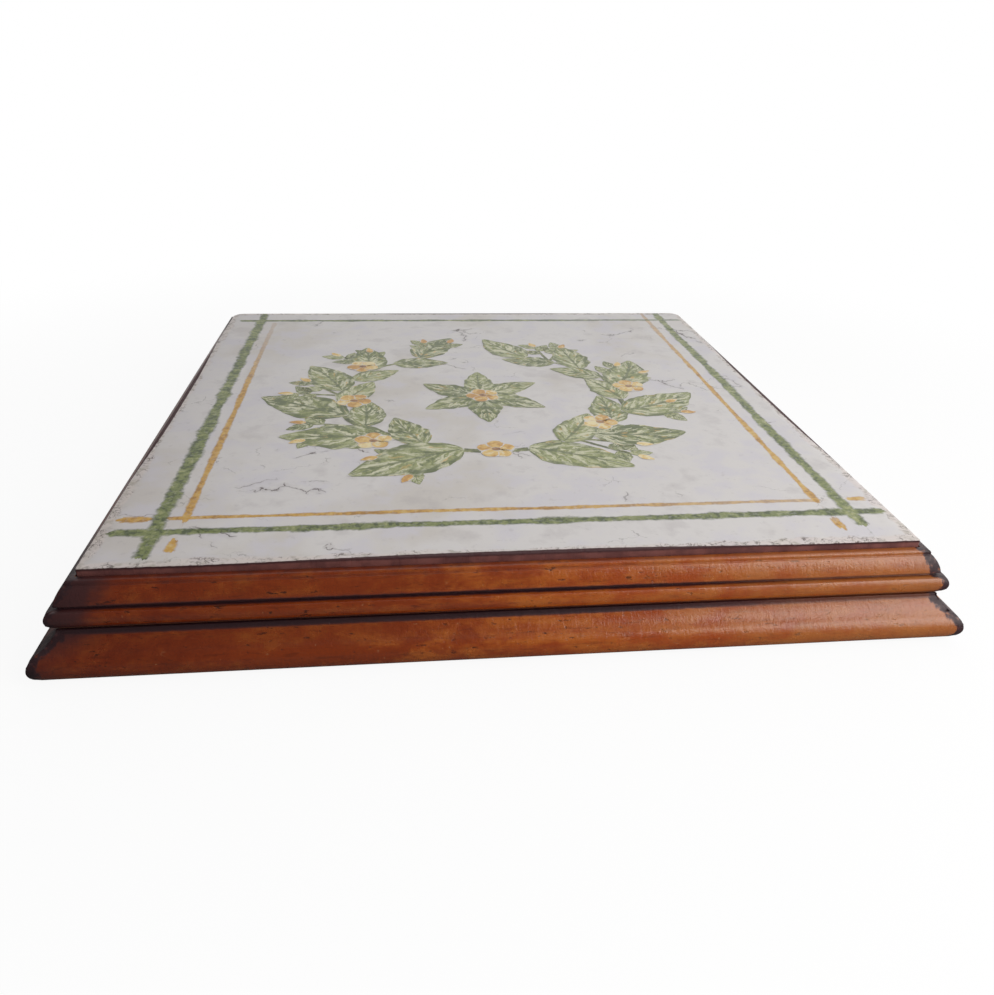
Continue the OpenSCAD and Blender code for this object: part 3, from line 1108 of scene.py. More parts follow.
@dataclass(frozen=True)
class Glaze:
    """An off-white crackled glaze, brown where it breaks over the tile's edge, with painted shade towards
    its left side.
    """

    half_side: float
    face: float
    body: Colour = srgb(211, 207, 205)
    warm: Colour = srgb(201, 195, 189)
    cool: Colour = srgb(205, 201, 207)
    # The grey of the smudges and the crack haze, and of the painted shade on the left.
    smudge: Colour = srgb(160, 152, 154)
    blush: Colour = srgb(214, 200, 192)
    crack: Colour = srgb(78, 68, 64)
    rim_olive: Colour = srgb(148, 142, 124)
    edge_brown: Colour = srgb(66, 34, 36)
    biscuit: Colour = srgb(124, 76, 70)
    deep_biscuit: Colour = srgb(96, 56, 54)
    clouds: Cloud = Cloud(26, 3, 0.5)
    drift: Cloud = Cloud(75, 4, 0.6)
    flecks: Cloud = Cloud(420, 4, 0.65)
    ripple: Cloud = Cloud(110, 4, 0.55)
    side_wander: Cloud = Cloud(150, 3, 0.6)
    olive_patches: Cloud = Cloud(330, 4, 0.65)
    squiggles: Cloud = Cloud(520, 3, 0.62, 0.8, (0.7, 1, 0))
    squiggle_patches: Cloud = Cloud(240, 2, 0.5)
    ragged: Cloud = Cloud(620, 4, 0.65)
    clay: Cloud = Cloud(160, 4, 0.6)
    long_cracks: Cracks = Cracks(42, 0.0065, Cloud(52, 2, 0.5), 0.58)
    fine_cracks: Cracks = Cracks(95, 0.009, Cloud(60, 2, 0.5), 0.6)
    bump_depth: float = 0.03 * MM
    bump_share: float = 0.6
    gloss: float = 0.5

    def ground(self, bench: Bench) -> tuple[Socket, Socket, Socket]:
        """Works out the glaze before anything is painted on it.

        Args:
            bench: The material's bench.

        Returns:
            The colour, the roughness, and the height of the cracks and ripples.
        """
        drift = bench.noise(self.drift)
        colour = bench.mix(bench.ease(bench.noise(self.clouds), 0.36, 0.52), self.warm, self.body)
        colour = bench.tinge(colour, self.cool, drift, 0.46, 0.66, 0.8)
        colour = bench.tinge(colour, self.smudge, drift, 0.46, 0.3, 0.3)
        # Painted shade: the glaze greys towards the tile's left side.
        colour = bench.tinge(colour, self.smudge, bench.split(bench.place)[0], -55 * MM, -110 * MM, 0.22)
        colour = bench.tinge(colour, self.smudge, bench.noise(self.flecks), 0.42, 0.28, 0.22)
        long_cracks, haze = self.long_cracks.draw(bench)
        fine_cracks, _ = self.fine_cracks.draw(bench)
        colour = bench.mix(bench.times(haze, 0.3), colour, self.smudge)
        wander = bench.times(bench.noise(self.side_wander), 5.0 * MM)
        near_side = bench.ease(bench.minus(self.off_side(bench), wander), 0.4 * MM, -0.8 * MM)
        colour = bench.mix(bench.times(near_side, 0.5), colour, self.blush)
        olive = bench.times(near_side, bench.ease(bench.noise(self.olive_patches), 0.48, 0.66, 0.0, 0.5))
        colour = bench.mix(olive, colour, self.rim_olive)
        squiggles = bench.ease(bench.size(bench.centred(bench.noise(self.squiggles))), 0.032, 0.01)
        patches = bench.ease(bench.noise(self.squiggle_patches), 0.4, 0.54)
        rim_cracks = bench.times(squiggles, patches, near_side)
        cracks = bench.most(
            bench.times(long_cracks, 0.8), bench.times(fine_cracks, 0.4), bench.times(rim_cracks, 0.75)
        )
        colour = bench.mix(cracks, colour, self.crack)
        height = bench.minus(bench.times(bench.noise(self.ripple), 1.2), cracks)
        rough = bench.plus(bench.times(drift, 0.2), 0.38, bench.times(cracks, 0.3))
        return colour, rough, height

    def off_side(self, bench: Bench) -> Socket:
        """Measures the distance from the tile's nearest side, in metres."""
        across, along, _ = bench.split(bench.place)
        return bench.minus(self.half_side, bench.most(bench.size(across), bench.size(along)))

    def finish(self, bench: Bench, colour: Socket, rough: Socket, height: Socket) -> None:
        """Adds the glaze's surface shader.

        Args:
            bench: The material's bench.
            colour: The colour's socket.
            rough: The roughness's socket.
            height: The height's socket, in units of the bump's depth.
        """
        normal = bench.bump(height, self.bump_depth, self.bump_share)
        finish_surface(bench, colour, rough, normal, Specular_IOR_Level=self.gloss)

    def material(self, border: "Border") -> bpy.types.Material:
        """Makes the glaze with its painted border, its brown edge and the fired clay of the sides.

        Args:
            border: The lines that are painted round the face.

        Returns:
            The material.
        """
        material, bench = new_bench("crackle_glaze")
        colour, rough, height = self.ground(bench)
        colour = border.paint(bench, colour)
        across, along, up = bench.split(bench.place)
        ragged = bench.times(bench.centred(bench.noise(self.ragged)), 0.5 * MM)
        depth = bench.plus(bench.minus(self.face, up), ragged)
        off_corner = bench.math("MINIMUM", bench.size(across), bench.size(along))
        thin_rim = bench.ease(off_corner, 75 * MM, 15 * MM, 0.0, 1.4 * MM)
        thin_rim = bench.minus(thin_rim, self.off_side(bench))
        depth = bench.plus(depth, bench.ease(thin_rim, -0.3 * MM, 0.3 * MM, 0.0, 0.5 * MM))
        clay = bench.mix(bench.ease(bench.noise(self.clay), 0.35, 0.65), self.biscuit, self.deep_biscuit)
        clay = bench.tinge(clay, self.edge_brown, depth, 1.3 * MM, 0.75 * MM)
        side_share = bench.ease(depth, 0.32 * MM, 0.5 * MM)
        colour = bench.mix(side_share, colour, clay)
        self.finish(bench, colour, bench.plus(rough, bench.times(side_share, 0.2)), height)
        return material


# The painting


@dataclass(frozen=True)
class Tint:
    """The three depths of one painted colour."""

    light: Colour
    full: Colour
    deep: Colour

    def mix(self, bench: Bench, depth: Socket) -> Socket:
        """Mixes the colour for a depth from about 0.3, deep, to 0.7, light."""
        colour = bench.mix(bench.ease(depth, 0.4, 0.5), self.deep, self.full)
        return bench.tinge(colour, self.light, depth, 0.5, 0.62)


@dataclass(frozen=True)
class Paint:
    """A brushed glaze colour, laid in thin uneven dabs that fade out at their edges."""

    name: str
    tint: Tint
    cream: Colour = srgb(210, 208, 178)
    touch: Colour = srgb(206, 166, 84)
    gaps: float = 0.2
    edge: float = 0.84
    soft: float = 0.2
    torn: float = 0.7
    leafy: bool = False
    dabs: Cloud = Cloud(420, 4, 0.65, 0.4)
    blotches: Cloud = Cloud(110, 3, 0.55)
    slants: Cloud = Cloud(1.5, 4, 0.58, 0.5)
    touches: Cloud = Cloud(1.6, 2, 0.5, 0.0, (0.5, 1, 1))

    def material(self, glaze: Glaze) -> bpy.types.Material:
        """Makes the paint over the bare glaze.

        Args:
            glaze: The glaze under and around the paint.

        Returns:
            The material.
        """
        material, bench = new_bench(f"paint_{self.name}")
        ground, rough, height = glaze.ground(bench)
        along, across, _ = bench.split(bench.add("ShaderNodeUVMap", uv_map="UVMap").outputs[0])
        tone = bench.attribute("tone")
        dabs = bench.noise(self.dabs)
        stray = bench.centred(dabs)
        off_middle = bench.size(bench.minus(bench.times(across, 2.0), 1.0))
        ragged = bench.plus(off_middle, bench.times(stray, self.torn))
        ends = bench.plus(bench.times(along, bench.minus(1.0, along)), bench.times(stray, 0.04))
        inside = bench.ease(ragged, self.edge + self.soft / 2, self.edge - self.soft / 2)
        depth = bench.plus(
            bench.times(bench.noise(self.blotches), 0.35),
            bench.times(dabs, 0.65),
            bench.times(bench.centred(tone), 0.16),
        )
        colour = self.tint.mix(bench, depth)
        if self.leafy:
            colour = self.leaf_dabs(bench, colour, along, off_middle, tone, stray)
        gaps = bench.times(bench.ease(dabs, 0.54, 0.68), self.gaps)
        inside = bench.times(inside, bench.ease(ends, 0.0, 0.02), bench.minus(1.0, gaps))
        colour = bench.mix(bench.times(inside, 0.97), ground, colour)
        glaze.finish(bench, colour, rough, bench.plus(height, bench.times(inside, 0.35)))
        return material

    def leaf_dabs(
        self, bench: Bench, colour: Socket, along: Socket, off_middle: Socket, tone: Socket, stray: Socket
    ) -> Socket:
        """Adds slanting pale and dark dabs between a leaf's veins, its midrib and its darker edge.

        Args:
            bench: The material's bench.
            colour: The colour before the dabs.
            along: The place along the leaf, from 0 to 1.
            off_middle: The distance from the midrib, 1 at the edge.
            tone: The leaf's own number, which makes its dabs unlike the others'.
            stray: Noise that breaks the strokes up, 0 on average.

        Returns:
            The leaf's colour socket.
        """
        deep = self.tint.deep
        slant = bench.minus(bench.times(along, 9.0), bench.times(off_middle, 2.4))
        slant = bench.plus(slant, bench.times(stray, 1.6))
        inputs = {0: slant, 1: bench.times(off_middle, 1.3), 2: bench.times(tone, 37.0)}
        seat = bench.add("ShaderNodeCombineXYZ", inputs).outputs[0]
        slants = bench.noise(self.slants, seat)
        touches = bench.noise(self.touches, seat, shift=(4.0, 2.0, 1.0))
        colour = bench.tinge(colour, self.cream, slants, 0.47, 0.6, 0.9)
        colour = bench.tinge(colour, self.touch, touches, 0.63, 0.72, 0.7)
        colour = bench.tinge(colour, deep, slants, 0.44, 0.32, 0.7)
        ridge = bench.size(bench.centred(bench.math("FRACT", slant)))
        colour = bench.tinge(colour, deep, ridge, 0.12, 0.03, 0.4)
        rib = bench.plus(off_middle, bench.times(stray, 0.14))
        colour = bench.tinge(colour, deep, rib, 0.11, 0.04, 0.75)
        edge = bench.times(bench.ease(rib, 0.68, 0.84, 0.0, 0.8), bench.ease(touches, 0.6, 0.42))
        return bench.mix(edge, colour, deep)


@dataclass(frozen=True)
class Stroke:
    """One brush stroke: a path over the tile, and half its width along the path."""

    path: Callable[[float], Vector]
    half_width: Callable[[float], float]
    steps: int = 12
    tone: float = 0.5


def curved(start: Vector, heading: float, length: float, bend: float) -> Callable[[float], Vector]:
    """Lays a path of even bend.

    Args:
        start: Where it begins.
        heading: The direction in which it starts, in radians from +X.
        length: Its length.
        bend: How far it turns to the left along its length, in radians.

    Returns:
        The path, from 0 to 1.
    """

    def path(share: float) -> Vector:
        """The place at a share of the path."""
        angle = heading + bend * share / 2
        return start + Vector((math.cos(angle), math.sin(angle))) * length * share

    return path


@dataclass
class Painter:
    """Lays brush strokes on a tile's face."""

    tile: Tile
    film: float = 0.02 * MM
    layer: float = 0.012 * MM

    def lay(self, stroke: Stroke, height: float, name: str) -> bpy.types.Object:
        """Makes one stroke as a thin strip that follows the face.

        Args:
            stroke: The stroke.
            height: How far above the face it lies.
            name: The strip's name.

        Returns:
            The strip.
        """
        deselect()
        bpy.ops.mesh.primitive_grid_add(x_subdivisions=stroke.steps, y_subdivisions=4, size=1)
        strip = bpy.context.object
        strip.name = name
        nudge = 0.01

        def place(point: Vector) -> Vector:
            """Moves a point of the unit grid onto the stroke."""
            share = point.x + 0.5
            ahead = stroke.path(min(share + nudge, 1)) - stroke.path(max(share - nudge, 0))
            ahead = ahead.normalized()
            sideways = Vector((-ahead.y, ahead.x))
            spot = stroke.path(share) + sideways * 2 * point.y * stroke.half_width(share)
            return Vector((spot.x, spot.y, self.tile.face_height(spot.x, spot.y) + height))

        write_attribute(strip, "tone", lambda _: stroke.tone)
        reshape(strip, place)
        return strip

    def paint(
        self, name: str, strokes: Iterable[Stroke], level: int, turns: int, paint: Paint, glaze: Glaze
    ) -> None:
        """Joins a set of strokes into one painted piece.

        Args:
            name: The piece's name.
            strokes: The strokes, which may overlap.
            level: The layer on which the first lies.
            turns: How many layers the strokes take in turn.
            paint: The paint that they are dressed in.
            glaze: The glaze around the paint.
        """
        strips = [
            self.lay(stroke, self.film + (level + i % turns) * self.layer, f"{name}_{i}")
            for i, stroke in enumerate(strokes)
        ]
        deselect()
        for strip in strips:
            strip.select_set(True)
        bpy.context.view_layer.objects.active = strips[0]
        bpy.ops.object.join()
        piece = bpy.context.object
        piece.name = name
        thick = piece.modifiers.new("film", "SOLIDIFY")
        thick.thickness = self.film
        thick.offset = -1
        bpy.ops.object.modifier_apply(modifier=thick.name)
        dress(piece, paint.material(glaze))
        hand_over(piece, "tile_glaze")


@dataclass(frozen=True)
class Line:
    """One painted line of the border, with its distance from the middle and its ends."""

    upright: bool
    off: float
    start: float
    end: float
    half: float
    tone: float = 0.5
    fade: float = 0.0

    def cover(
        self, bench: Bench, spot: list[Socket], stray: Socket, swell: Socket, ragged: Socket, hairs: Socket
    ) -> Socket:
        """Works out where the line's paint lies.

        Args:
            bench: The material's bench.
            spot: The place's x, y and z.
            stray: How far the hand strays, in metres.
            swell: How wide the brush lies, 1 on average.
            ragged: How ragged the stroke is, 0 on average.
            hairs: Streaks along the stroke, 0 on average.

        Returns:
            The cover's socket, 1 where the paint is full.
        """
        across, along = spot[:2] if self.upright else spot[1::-1]
        across = bench.plus(across, bench.minus(stray, self.off))
        along = bench.plus(along, bench.times(hairs, 5.0 * MM))
        off_line = bench.math("DIVIDE", bench.size(across), bench.times(swell, self.half))
        taper = bench.most(
            bench.ease(along, self.start - 0.4 * MM, self.start + 0.9 * MM, 1.1, 0.0),
            bench.ease(along, self.end + 0.4 * MM, self.end - 0.9 * MM, 1.1, 0.0),
        )
        share = bench.ease(bench.plus(off_line, taper, ragged), 1.24, 0.6)
        if self.fade:
            middle = (self.start + self.end) / 2
            share = bench.times(share, bench.ease(along, middle, self.end, 1.0, 1.0 - self.fade))
        return share


@dataclass(frozen=True)
class Border:
    """The crossing green and yellow lines, brushed into the glaze around the tile's face."""

    green: Tint = Tint(srgb(162, 164, 110), srgb(114, 124, 64), srgb(62, 76, 28))
    yellow: Tint = Tint(srgb(206, 174, 96), srgb(194, 148, 56), srgb(160, 114, 36))
    stray: Cloud = Cloud(12, 2, 0.5)
    sway: float = 1.0 * MM
    swell: Cloud = Cloud(90, 2, 0.5)
    dabs: Cloud = Cloud(430, 4, 0.66, 0.5)
    level_hairs: Cloud = Cloud(1500, 2, 0.6, 0.0, (0.16, 1, 1))
    upright_hairs: Cloud = Cloud(1500, 2, 0.6, 0.0, (1, 0.16, 1))
    blotches: Cloud = Cloud(210, 3, 0.6)
    specks: Cloud = Cloud(560, 4, 0.7)
    gaps: Cloud = Cloud(640, 3, 0.6)
    greens: tuple[Line, ...] = (
        Line(False, -85.2 * MM, -97.5 * MM, 98.5 * MM, 1.6 * MM, 0.4),
        Line(True, -86.8 * MM, -97 * MM, 99.4 * MM, 2.1 * MM, 0.42),
        Line(False, 88.8 * MM, -96 * MM, 98 * MM, 1.3 * MM, 0.4, 0.3),
        Line(True, 89.2 * MM, -92.5 * MM, 99.4 * MM, 1.8 * MM, 0.5),
    )
    yellows: tuple[Line, ...] = (
        Line(True, -80.9 * MM, -81 * MM, 86 * MM, 1.0 * MM, 0.45, 0.7),
        Line(True, -81.4 * MM, -94.5 * MM, -88.6 * MM, 1.15 * MM, 0.5),
        Line(True, 82.6 * MM, -80 * MM, 99.4 * MM, 1.0 * MM, 0.55, 0.4),
        Line(True, 82.9 * MM, -94 * MM, -87.5 * MM, 1.1 * MM, 0.6, 0.3),
        Line(False, -78.7 * MM, -86 * MM, 84 * MM, 0.88 * MM, 0.45, 0.3),
        Line(False, -78.9 * MM, -97 * MM, -89 * MM, 1.2 * MM, 0.4),
        Line(False, -78.4 * MM, 91.5 * MM, 97 * MM, 1.1 * MM, 0.65, 0.3),
    )

    def paint(self, bench: Bench, colour: Socket) -> Socket:
        """Paints the lines over the glaze.

        Args:
            bench: The material's bench.
            colour: The glaze's colour.

        Returns:
            The painted colour's socket.
        """
        flat = bench.mapped(bench.place, (1.0, 1.0, 0.0))
        spot = bench.split(flat)
        stray = bench.times(bench.centred(bench.noise(self.stray, flat)), self.sway)
        swell = bench.ease(bench.noise(self.swell, flat), 0.3, 0.7, 0.72, 1.25)
        ragged = bench.times(bench.centred(bench.noise(self.dabs, flat)), 1.1)
        clouds = (self.level_hairs, self.upright_hairs)
        hairs = [bench.centred(bench.noise(cloud, flat)) for cloud in clouds]
        depth = bench.plus(
            bench.times(bench.noise(self.blotches, flat), 0.45),
            bench.times(bench.noise(self.specks, flat), 0.55),
        )
        gaps = bench.ease(bench.noise(self.gaps, flat), 0.52, 0.68, 1.0, 0.8)
        for tint, lines in ((self.yellow, self.yellows), (self.green, self.greens)):
            cover: object = 0.0
            tone: object = 0.0
            for line in lines:
                share = line.cover(bench, spot, stray, swell, ragged, hairs[line.upright])
                cover = bench.most(cover, share)
                tone = bench.most(tone, bench.times(share, line.tone))
            toned = bench.plus(depth, bench.times(bench.centred(tone), 0.3))
            colour = bench.mix(bench.times(cover, gaps, 0.98), colour, tint.mix(bench, toned))
        return colour


@dataclass
class Wreath:
    """An open wreath of two leafy boughs, with round blossoms and a rosette in its middle.

    Each angle is in radians round the ring from the front, and a blossom lies so many millimetres
    outwards of the ring.
    """

    painter: Painter
    glaze: Glaze
    radius: float = 43 * MM
    widen: float = 1.12
    leaf_count: int = 11
    leaf_length: float = 35 * MM
    leaf_half: float = 9.8 * MM
    petal_length: float = 5.8 * MM
    bud_length: float = 5.2 * MM
    heart_half: float = 1.3 * MM
    stalk_half: float = 0.7 * MM
    seed: int = 11
    green: Tint = Tint(srgb(168, 172, 118), srgb(132, 140, 78), srgb(84, 96, 46))
    stem: Tint = Tint(srgb(146, 148, 98), srgb(112, 118, 68), srgb(74, 82, 42))
    yellow: Tint = Tint(srgb(230, 214, 164), srgb(216, 178, 98), srgb(190, 138, 60))
    brown: Tint = Tint(srgb(178, 136, 80), srgb(152, 106, 56), srgb(112, 78, 44))
    sprig_dabs: Cloud = Cloud(700, 4, 0.65, 0.4)
    sprig_angles: tuple[float, ...] = (0.55, 1.2, 1.85, 2.5, -0.32, -0.95, -1.6, -2.25, -2.8)
    blossom_angles: tuple[float, ...] = (0.0, 0.92, 1.72, -0.74, -1.48, -2.25)
    blossoms_out: tuple[float, ...] = (0.0, -3.0, 5.0, 5.0, -4.0, 5.0)

    def spot(self, angle: float, out: float = 0.0) -> Vector:
        """The place on the wreath's ring at an angle from the front, in radians."""
        reach = self.radius + out
        return Vector((math.sin(angle) * reach * self.widen, -math.cos(angle) * reach))

    def heading(self, angle: float, outwards: float) -> float:
        """The way along a bough at an angle, turned outwards by so much, in radians."""
        return angle - outwards if angle > 0 else angle + math.pi + outwards

    def bough(self, sign: int) -> Stroke:
        """The stem of one bough, from the front round to the back."""

        def path(share: float) -> Vector:
            """The place at a share of the stem."""
            return self.spot(sign * (-0.1 + share * 2.95), 1.2 * MM * math.sin(share * 19))

        return Stroke(path, lambda share: (1.5 - 0.8 * share) * MM, 60, 0.35)

    def leaves(self, sign: int, chance: random.Random) -> list[Stroke]:
        """The leaves of one bough, alternately outwards and inwards.

        Args:
            sign: 1 for the right bough and -1 for the left one.
            chance: The source of small differences.

        Returns:
            The leaves' strokes.
        """
        strokes = []
        for i in range(self.leaf_count):
            share = i / self.leaf_count
            angle = sign * (0.2 + share * 2.75)
            outward = 1 if i % 2 == 0 else -1
            heading = self.heading(angle, outward * (0.6 + chance.uniform(-0.12, 0.12)))
            size = (1 - 0.28 * share) * chance.uniform(0.9, 1.08)
            length = self.leaf_length * size * (1.0 if outward > 0 else 0.72)
            half = self.leaf_half * size * (1.0 if outward > 0 else 0.75)
            strokes.append(self.leaf(self.spot(angle), heading, length, half, chance))
        return strokes

    def leaf(
        self, start: Vector, heading: float, length: float, half: float, chance: random.Random
    ) -> Stroke:
        """One pointed leaf.

        Args:
            start: Where its stalk begins.
            heading: Its direction, in radians.
            length: Its length.
            half: Half its width, its pale rim included.
            chance: The source of small differences.

        Returns:
            The leaf's stroke.
        """
        bend = chance.uniform(-0.5, 0.5)
        lobes = chance.uniform(0, 50)

        def width(share: float) -> float:
            """Half the leaf's width along its length, with an uneven hand-painted edge."""
            plain = 0.04 + 0.96 * math.sin(math.pi * share**0.75) ** 0.9
            return 0.93 * half * plain * (1 + 0.16 * noise.noise(Vector((lobes, share * 9, 0))))

        path = curved(start, heading - bend / 2, length, bend)
        return Stroke(path, width, 26, chance.uniform(0.1, 0.9))

    def blossom(self, middle: Vector, size: float, chance: random.Random) -> list[Stroke]:
        """The five petals of one blossom.

        Args:
            middle: The blossom's middle.
            size: The length of a petal.
            chance: The source of small differences.

        Returns:
            The petals' strokes.
        """
        start = chance.uniform(0, 1)

        def width(share: float) -> float:
            """Half the petal's width along its length."""
            return size * 0.5 * (0.2 + 0.8 * math.sin(math.pi * share**1.4) ** 0.8)

        paths = [curved(middle, (start + i) * math.tau / 5, size, 0.2) for i in range(5)]
        return [Stroke(path, width, 10, chance.uniform(0.1, 0.9)) for path in paths]

    def sprigs(self, chance: random.Random) -> tuple[list[Stroke], list[Stroke], list[Stroke]]:
        """The small sprigs on the outside of the boughs.

        Args:
            chance: The source of small differences.

        Returns:
            The strokes of the buds, the stalks and the small leaves.
        """
        buds, stalks, leaves = [], [], []

        def width(share: float) -> float:
            """Half the bud's width along its length."""
            return self.bud_length * 0.3 * math.sin(math.pi * (0.06 + 0.9 * share) ** 0.8)

        for angle in self.sprig_angles:
            for spread in (-0.25, 0.35):
                heading = self.heading(angle, 1.0 + spread + chance.uniform(-0.1, 0.1))
                stalk = curved(self.spot(angle), heading, chance.uniform(17, 22) * MM, 0.4 * spread)
                stalks.append(Stroke(stalk, lambda share: self.stalk_half, 12, 0.4))
                bud = curved(stalk(0.94), heading, self.bud_length, 0.1)
                buds.append(Stroke(bud, width, 10, chance.random()))
                for share, turn in ((0.5, 0.9), (0.66, -0.8), (0.82, 0.7)):
                    size = chance.uniform(7, 10) * MM
                    leaves.append(self.leaf(stalk(share), heading + turn, size, 0.32 * size, chance))
        return buds, stalks, leaves

    def rosette(self, chance: random.Random) -> list[Stroke]:
        """The six leaves around the middle blossom."""
        middle, length, half = Vector((0, 0)), 0.66 * self.leaf_length, 0.62 * self.leaf_half
        return [self.leaf(middle, (i + 0.5) * math.tau / 6, length, half, chance) for i in range(6)]

    def build(self) -> None:
        """Paints the wreath."""
        chance = random.Random(self.seed)
        leafy = {"gaps": 0.12, "edge": 1.02, "leafy": True}
        leaf_green = Paint("leaf", self.green, soft=0.1, torn=0.16, **leafy)
        sprig_green = Paint("sprig", self.green, soft=0.2, torn=0.3, dabs=self.sprig_dabs, **leafy)
        stem_green = Paint("stem", self.stem)
        petal_yellow = Paint("petal", self.yellow, gaps=0.4)
        heart_brown = Paint("heart", self.brown)
        buds, stalks, small_leaves = self.sprigs(chance)
        stems = [self.bough(1), self.bough(-1), *stalks]
        self.painter.paint("wreath_stems", stems, 0, 2, stem_green, self.glaze)
        self.painter.paint("sprig_leaves", small_leaves, 1, 2, sprig_green, self.glaze)
        leaves = [leaf for pair in zip(self.leaves(1, chance), self.leaves(-1, chance)) for leaf in pair]
        self.painter.paint("wreath_leaves", self.rosette(chance) + leaves, 2, 3, leaf_green, self.glaze)
        places = zip(self.blossom_angles, self.blossoms_out)
        middles = [self.spot(angle, out * MM) for angle, out in places] + [Vector((0, 0))]
        petals = [petal for middle in middles for petal in self.blossom(middle, self.petal_length, chance)]
        self.painter.paint("wreath_blossoms", petals + buds, 5, 2, petal_yellow, self.glaze)
        half = self.heart_half
        hearts = [
            Stroke(
                curved(middle - Vector((half, 0)), 0, 2 * half, 0),
                lambda share: half * math.sqrt(max(1 - (2 * share - 1) ** 2, 0.02)),
                10,
                0.5,
            )
            for middle in middles
        ]
        self.painter.paint("wreath_hearts", hearts, 7, 1, heart_brown, self.glaze)


# The parts underneath


@dataclass(frozen=True)
class FeltPad:
    """A felt pad: a disc with soft edges and a slightly uneven face."""

    bevel: float = 0.22 * MM
    fuzz: float = 0.05 * MM
    insets: tuple[float, ...] = (0.9 * MM, 1.6 * MM, 2.4 * MM)

    def build(self, corner: str, material: bpy.types.Material) -> None:
        """Makes one pad.

        Args:
            corner: The corner under which it lies, as in its node's name.
            material: Its felt.
        """
        node = f"felt_pad_{corner}"
        low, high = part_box(node)
        middle = (Vector(low) + Vector(high)) / 2
        radius = (high[0] - low[0]) / 2
        deselect()
        bpy.ops.mesh.primitive_cylinder_add(
            vertices=72, radius=radius, depth=high[2] - low[2], location=middle
        )
        pad = bpy.context.object
        pad.name = f"soft_{node}"
        bpy.ops.object.transform_apply(location=True, rotation=True, scale=True)
        pick(pad, "FACE", lambda points: len(points) > 4)
        for inset in self.insets:
            bpy.ops.mesh.inset(thickness=inset)
        outer = radius - 0.01 * MM

        def on_rim(points: list[Vector]) -> bool:
            """Says whether an edge runs round one of the pad's rims."""
            far = all((point - middle).to_2d().length > outer for point in points)
            return far and abs(points[0].z - points[1].z) < 0.1 * MM

        pick(pad, "EDGE", on_rim)
        bpy.ops.mesh.bevel(offset=self.bevel, segments=3, affect="EDGES")
        bpy.ops.object.mode_set(mode="OBJECT")

        def felted(point: Vector) -> Vector:
            """Draws a point in a little, unevenly."""
            pull = self.fuzz * (0.5 + 0.5 * noise.noise(point * 900))
            point.xy += (middle.xy - point.xy).normalized() * pull
            return point

        reshape(pad, felted)
        close_up(pad)
        smooth_shade(pad, 50)
        dress(pad, material)
        hand_over(pad, "felt", node)


@dataclass(frozen=True)
class Felt:
    """Dark felt with matted fibres."""

    dark: Colour = srgb(44, 40, 38)
    light: Colour = srgb(96, 90, 84)
    fibres: Cloud = Cloud(2600, 4, 0.7, 1.2, (1, 0.35, 1))
    crossing: Cloud = Cloud(2200, 4, 0.7, 1.0, (0.3, 1, 1))
    rough: float = 0.95
    bump_depth: float = 0.12 * MM

    def material(self) -> bpy.types.Material:
        """Makes the felt."""
        material, bench = new_bench("felt")
        fibres = bench.plus(bench.noise(self.fibres, turn=0.6), bench.noise(self.crossing, turn=0.2))
        matted = bench.times(fibres, 0.5)
        colour = bench.mix(bench.ease(matted, 0.36, 0.64), self.dark, self.light)
        normal = bench.bump(matted, self.bump_depth, 0.9)
        soft = {"Sheen_Weight": 0.35, "Sheen_Roughness": 0.6, "Specular_IOR_Level": 0.2}
        finish_surface(bench, colour, self.rough, normal, **soft)
        return material


@dataclass(frozen=True)
class Plywood:
    """Plain plywood with soft long figure."""

    pale: Colour = srgb(208, 172, 126)
    ring: Colour = srgb(186, 146, 98)
    fibre: Colour = srgb(150, 112, 74)
    pore: Colour = srgb(112, 78, 48)
    stain: Colour = srgb(150, 106, 66)
    figure: Cloud = Cloud(16, 4, 0.5, 0.4, (0.16, 1, 1))
    rings: float = 34.0
    fibres: Cloud = Cloud(2100, 3, 0.6, 0.0, (0.04, 1, 1))
    pores: Cloud = Cloud(1500, 2, 0.5, 0.0, (0.12, 1, 1))
    blotches: Cloud = Cloud(30, 3, 0.5)
    bump_depth: float = 0.06 * MM

    def material(self) -> bpy.types.Material:
        """Makes the plywood."""
        material, bench = new_bench("plywood")
        ring = bench.math("FRACT", bench.times(bench.noise(self.figure), self.rings))
        fibres, pores = bench.noise(self.fibres), bench.noise(self.pores)
        colour = bench.mix(bench.ease(ring, 0.15, 0.95), self.pale, self.ring)
        colour = bench.tinge(colour, self.fibre, fibres, 0.48, 0.3, 0.5)
        colour = bench.tinge(colour, self.pore, pores, 0.64, 0.72, 0.6)
        colour = bench.tinge(colour, self.stain, bench.noise(self.blotches), 0.5, 0.74, 0.3)
        normal = bench.bump(bench.minus(fibres, bench.ease(pores, 0.64, 0.72)), self.bump_depth, 0.6)
        rough = bench.ease(fibres, 0.3, 0.7, 0.74, 0.6)
        finish_surface(bench, colour, rough, normal, Specular_IOR_Level=0.3)
        return material


@dataclass(frozen=True)
class Steel:
    """Drawn steel with faint lines and a little tarnish."""

    bright: Colour = srgb(176, 172, 164)
    dull: Colour = srgb(112, 98, 84)
    lines: Cloud = Cloud(3500, 3, 0.6, 0.0, (1, 1, 0.1))
    tarnish: Cloud = Cloud(700, 4, 0.6)
    bump_depth: float = 0.01 * MM

    def material(self) -> bpy.types.Material:
        """Makes the steel."""
        material, bench = new_bench("drawn_steel")
        tarnish = bench.noise(self.tarnish)
        colour = bench.mix(bench.ease(tarnish, 0.5, 0.7), self.bright, self.dull)
        rough = bench.ease(tarnish, 0.4, 0.7, 0.3, 0.55)
        normal = bench.bump(bench.noise(self.lines), self.bump_depth, 0.5)
        finish_surface(bench, colour, rough, normal, Metallic=1.0)
        return material


